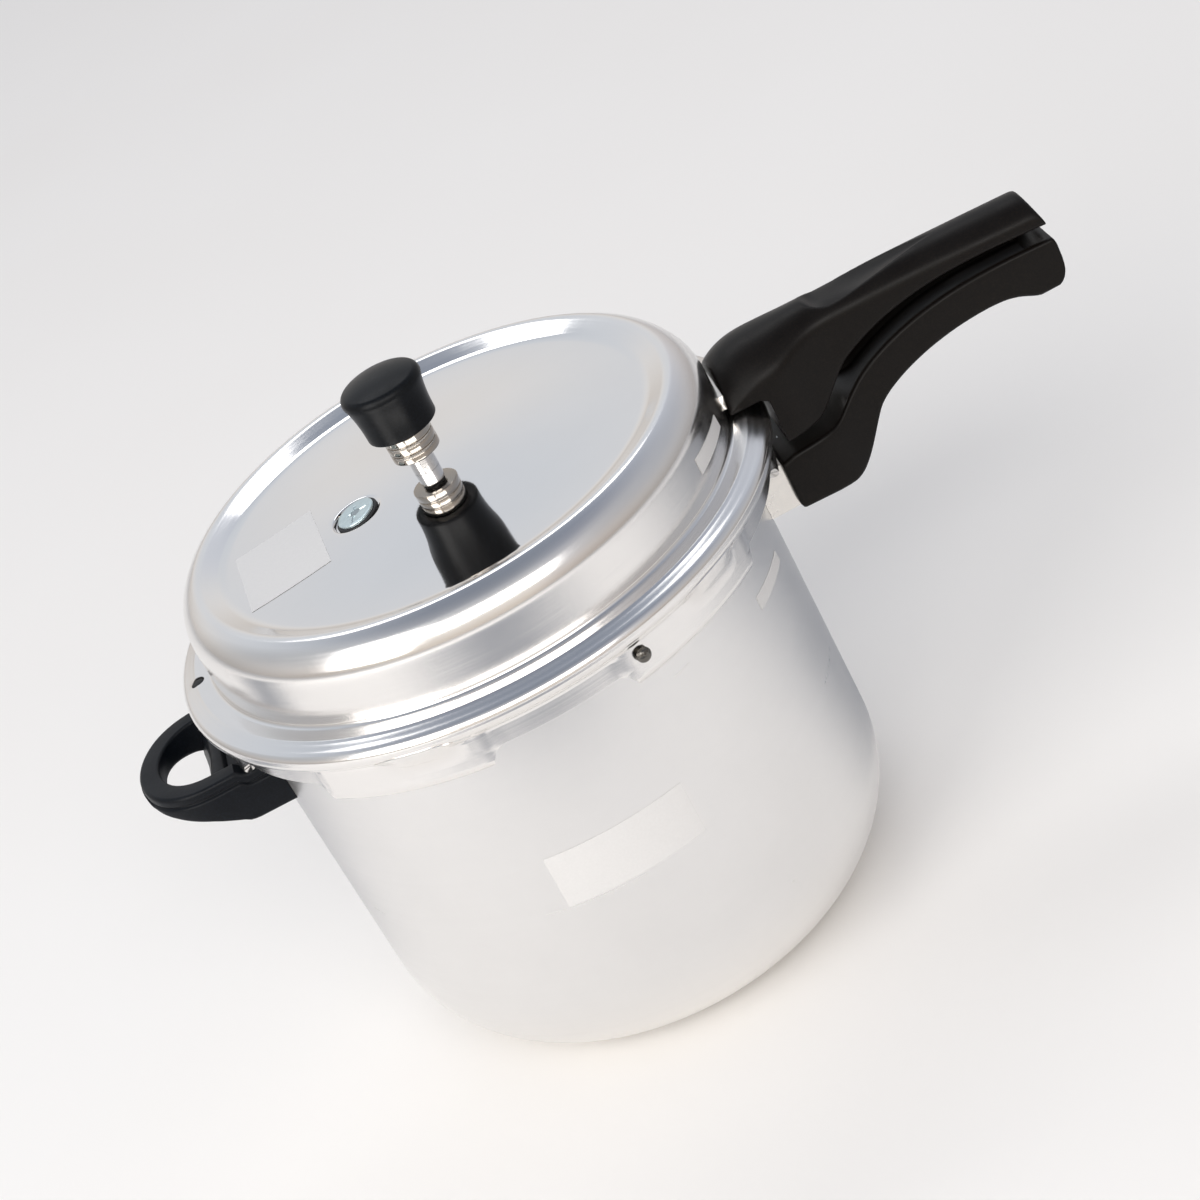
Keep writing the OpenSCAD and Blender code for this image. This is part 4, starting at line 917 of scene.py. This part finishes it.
# the screw's round pocket, sunk upwards from the root's underside
gone = [f for f in bm.faces if f.normal.z < -0.5 and f.calc_center_median().z < 150
        and (f.calc_center_median().xy - Vector((SCREW_X, 0))).length < SCREW_POCKET_R + 3.5]
low = min(f.calc_center_median().z for f in gone)
bmesh.ops.delete(bm, geom=gone, context="FACES")
rim = [e for e in bm.edges if e.is_boundary]
verts = [bm.verts.new((SCREW_X + y, z, low)) for y, z in rounded(0, 0, SCREW_POCKET_R, 0, 9, 40)]
circle = [bm.edges.new(pair) for pair in zip(verts, verts[1:] + verts[:1])]
bmesh.ops.bridge_loops(bm, edges=rim + circle)
for lift in (0.4, SCREW_POCKET_DEPTH):
    fresh, circle = grow(bm, circle)
    for v in fresh:
        v.co.z = low + lift
bmesh.ops.edgeloop_fill(bm, edges=circle)
lower = finish_piece(bm, "lower_handle_moulding", "pot", ["body_handle"], 40.0)
lower.data.materials.append(handle_resin)

# ------------------------------------------------------------------ helper handle
# A black phenolic loop: two arms and a round tip that thins outwards, with a sloping root
# block between the arms that hides the steel tongue, its screw and nut.
HELP_TOP = 171.4
HELP_HALF = 33
ARM_X = (104.5, 129)
TIP_X = 160.5
LOOP_WIDE = 9.4
BLOCK_HALF = 24.5

help_low = [(100, 148.6), (122, 148.9), (125, 149.6), (127, 151.0), (138, 156.4), (150, 161.2),
            (155, 163.0), (158, 164.6), (TIP_X, 166.8)]


def loop_point(t, inset):
    """Plan of the loop: t runs 0..1 from one arm's root round the tip to the other's."""
    half = HELP_HALF - inset
    root, bend = ARM_X
    if t < 0.25:
        return root + (bend - root) * t / 0.25, -half
    if t > 0.75:
        return root + (bend - root) * (1 - t) / 0.25, half
    a = math.radians(-90 + 360 * (t - 0.25))
    return bend + (TIP_X - inset - bend) * max(0.0, math.cos(a)) ** 0.82, half * math.sin(a)


def loop_ring(t):
    """The loop's section at t, from its outer face to its inner one."""
    outer, inner = loop_point(t, 0.0), loop_point(t, LOOP_WIDE)
    span = math.hypot(outer[0] - inner[0], outer[1] - inner[1])
    top = HELP_TOP - 2.5 * (1 - soft_step(math.hypot(*outer), 122.6, 124.6))
    low_out = along(outer[0], help_low)
    low_in = along(min(outer[0], inner[0] + 4), help_low)
    ring = rounded(span - 2.2, top - 1.7, 1.7, 0, 15, 7)
    ring += rounded(1.2, top - 1.2, 1.2, 90, 15, 7)
    ring += rounded(1.6, low_in + 1.6, 1.6, 180, 15, 7)
    ring += rounded(span - 1.6, low_out + 1.6, 1.6, 270, 15, 7)
    # the body's shoulder stands out under the ring's edge, past a fine groove
    mid = top - min(4.4, 0.62 * (top - low_out))
    ring += [(span - back, mid + up) for back, up in (
        (0, -1.6), (0.12, -1.1), (0.45, -0.7), (1.1, -0.45), (1.3, -0.2), (1.3, 0.15),
        (1.0, 0.35), (0.62, 0.6), (0.5, 1.0))]
    return [(-(inner[0] + (outer[0] - inner[0]) * u / span),
             inner[1] + (outer[1] - inner[1]) * u / span, z) for u, z in ring]


bm = bmesh.new()
loft(bm, [loop_ring(t) for t in [i / 48 for i in range(12)]
          + [0.25 + i / 144 for i in range(73)] + [0.75 + i / 48 for i in range(1, 13)]])

# the root block: its outer face slopes down and outwards, its top is open over the nut
rows = []
for y in (-BLOCK_HALF, -20, -15, -10, -9.4, 9.4, 10, 15, 20, BLOCK_HALF):
    near = math.sqrt(110.4 ** 2 - y * y)
    bow = 1.4 * (1 - (y / BLOCK_HALF) ** 2)
    section = [(near, 151.0), (near, 168.0), (near + 0.6, 169.0), (123.4, 169.0),
               (124.4, HELP_TOP - 0.6), (125.2, HELP_TOP - 0.2), (129.2 - bow, HELP_TOP - 0.2),
               (130.4 - bow, HELP_TOP - 0.9), (131.6 - bow, HELP_TOP - 2.8),
               (136.4 - bow, 157.4), (137.2 - bow, 154.6), (136.6 - bow, 153.4),
               (130.0, 150.6), (124.0, 150.0)]
    rows.append([(-x, y, z) for x, z in section])
loft(bm, rows)
helper = finish_piece(bm, "helper_handle_moulding", "pot", ["helper_handle"], 40.0)

# helper resin: the cooler, duller black of the loop
helper.data.materials.append(phenolic("phenolic_helper", "080b10", "10151c", 0.34, 0.48, 0.4))

# ------------------------------------------------------------------ stamped and turned fittings
# The small hardware: bracket channels pressed from plated steel, aluminium rivets, plated
# screws and nuts, a brass insert, the vent tube and its seal, the steel pin and the gasket.


def fitting(name, nodes, tint, shade, metal, gloss, patch, grain=0.2):
    """Gives the named nodes one mottled skin."""
    mat = mottled(name, tint, shade, patch, gloss, (grain, 0.03), detail=4.0, edge=0.6,
                  Metallic=metal)
    for node in nodes:
        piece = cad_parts[node]
        if not piece.material_slots:
            piece.data.materials.append(mat)
        for material_slot in piece.material_slots:
            material_slot.material = mat


# nickel-plated pressings: pale warm steel with drawing haze
fitting("nickel_plated_pressing", ["body_bracket", "helper_bracket", "lid_bracket"],
        "dedad4", "ebe8e3", 1.0, (0.16, 0.3), 4.762)
# zinc-plated screws and nuts: cooler, a little duller
fitting("zinc_plated_steel", ["body_handle_screw", "helper_screw", "lid_handle_screw",
                              "body_handle_nut", "helper_nut", "plug_nut", "vent_nut"],
        "b9bec2", "d3d6d8", 1.0, (0.25, 0.42), 1.923)
# set aluminium rivets: soft satin heads
fitting("aluminium_rivet_stock",
        ["body_bracket_rivets", "helper_bracket_rivets", "lid_bracket_rivets"],
        "d2d2d2", "e6e6e5", 1.0, (0.3, 0.45), 2.083)
# drawn brass insert, tarnished where the resin meets it
fitting("drawn_brass", ["lid_handle_insert"], "b08d4a", "cdb06c", 1.0, (0.22, 0.4), 2.857)
# low-melting alloy core, flush in the plug's head
fitting("fusible_alloy", ["plug_core"], "8f999d", "aab4b8", 0.9, (0.35, 0.5), 2.0)
# turned aluminium vent tube, bright from the tool
fitting("turned_vent_aluminium", ["vent_tube"], "d8d9da", "eeeeee", 1.0, (0.14, 0.26), 1.429)
# ground steel pin in the weight
fitting("ground_steel", ["weight_pin"], "bcbcbc", "d5d5d4", 1.0, (0.1, 0.2), 1.25)
# domed dark steel stop rivet: a smoky mirror that keeps a small bright window
fitting("dark_domed_steel", ["stop_rivet"], "55534f", "7b7873", 1.0, (0.12, 0.2), 3.333)
# nitrile rubber: the gasket's grey-black skin with a powdery bloom
fitting("gasket_nitrile", ["gasket"], "1d1d20", "303136", 0.0, (0.5, 0.68), 3.846, 0.4)
# soft black seal round the vent tube
fitting("vent_seal_rubber", ["vent_seal"], "101113", "202225", 0.0, (0.48, 0.62), 2.381, 0.4)

# ------------------------------------------------------------------ paper labels
# Plain self-adhesive labels, left blank: one on the pot's front, one on the lid's panel and
# two narrow ones beside the main handle. Thin paper curved over the metal under it.
LABEL_THICK = 0.08
LABEL_OFF = 0.12


def label(name, body, place, corners, across=24, down=8):
    """A four-cornered sheet laid on a surface: place(u, v) gives its points."""
    def between(a, b, t):
        """The point at a share t of the way from a to b."""
        return [a[k] + (b[k] - a[k]) * t for k in (0, 1)]

    top_left, top_right, low_right, low_left = corners
    rows = [[place(*between(between(top_left, top_right, i / across),
                            between(low_left, low_right, i / across), j / down))
             for i in range(across + 1)] for j in range(down + 1)]
    bm = bmesh.new()
    verts = [bm.verts.new(p) for p in rows[0]]
    edges = [bm.edges.new(pair) for pair in zip(verts, verts[1:])]
    for row in rows[1:]:
        fresh, _ = grow(bm, edges)
        verts = [next(e.other_vert(v) for e in v.link_edges if e.other_vert(v) in fresh)
                 for v in verts]
        for v, p in zip(verts, row):
            v.co = p
        edges = [bm.edges.get(pair) for pair in zip(verts, verts[1:])]
    bmesh.ops.solidify(bm, geom=list(bm.faces), thickness=LABEL_THICK)
    return finish_piece(bm, name, body, [], 60.0)


def on_pot(angle, z):
    """A point of the pot's wall, at an angle in degrees."""
    return on_ring(POT_R + LABEL_OFF, angle, z)


def on_tier(angle, z):
    """A point of the lid's wall, at an angle in degrees."""
    return on_ring(TIER_R + 0.15, angle, z)


def on_panel(x, y):
    """A point of the lid's domed panel."""
    return Vector((x, y, panel_height(math.hypot(x, y)) + LABEL_OFF))


labels = [
    label("label_pot_front", "pot", on_pot,
          [(-105.2, 118.5), (-74.5, 120.1), (-74.5, 96.0), (-105.4, 94.4)]),
    label("label_pot_side", "pot", on_pot,
          [(-37.9, 151.7), (-21.1, 149.9), (-20.7, 144.4), (-38.0, 145.5)]),
    label("label_lid_side", "lid", on_tier,
          [(-36.6, 214.7), (-20.2, 213.1), (-19.7, 206.9), (-36.6, 207.7)]),
    label("label_panel", "lid", on_panel,
          [(-83.7, 17.7), (-49.0, 22.4), (-47.0, -26.5), (-82.0, -30.4)], 16, 16),
]

# clear-coated label stock: an off-white sheet with a satin coat, and a faint fibre drawn
# coarse enough to show
label_stock = mottled("coated_label_paper", "d3d2d1", "dbdad9", 1.111, 0.45, grain=(0.2, 0.02))
for blank in labels:
    blank.data.materials.append(label_stock)
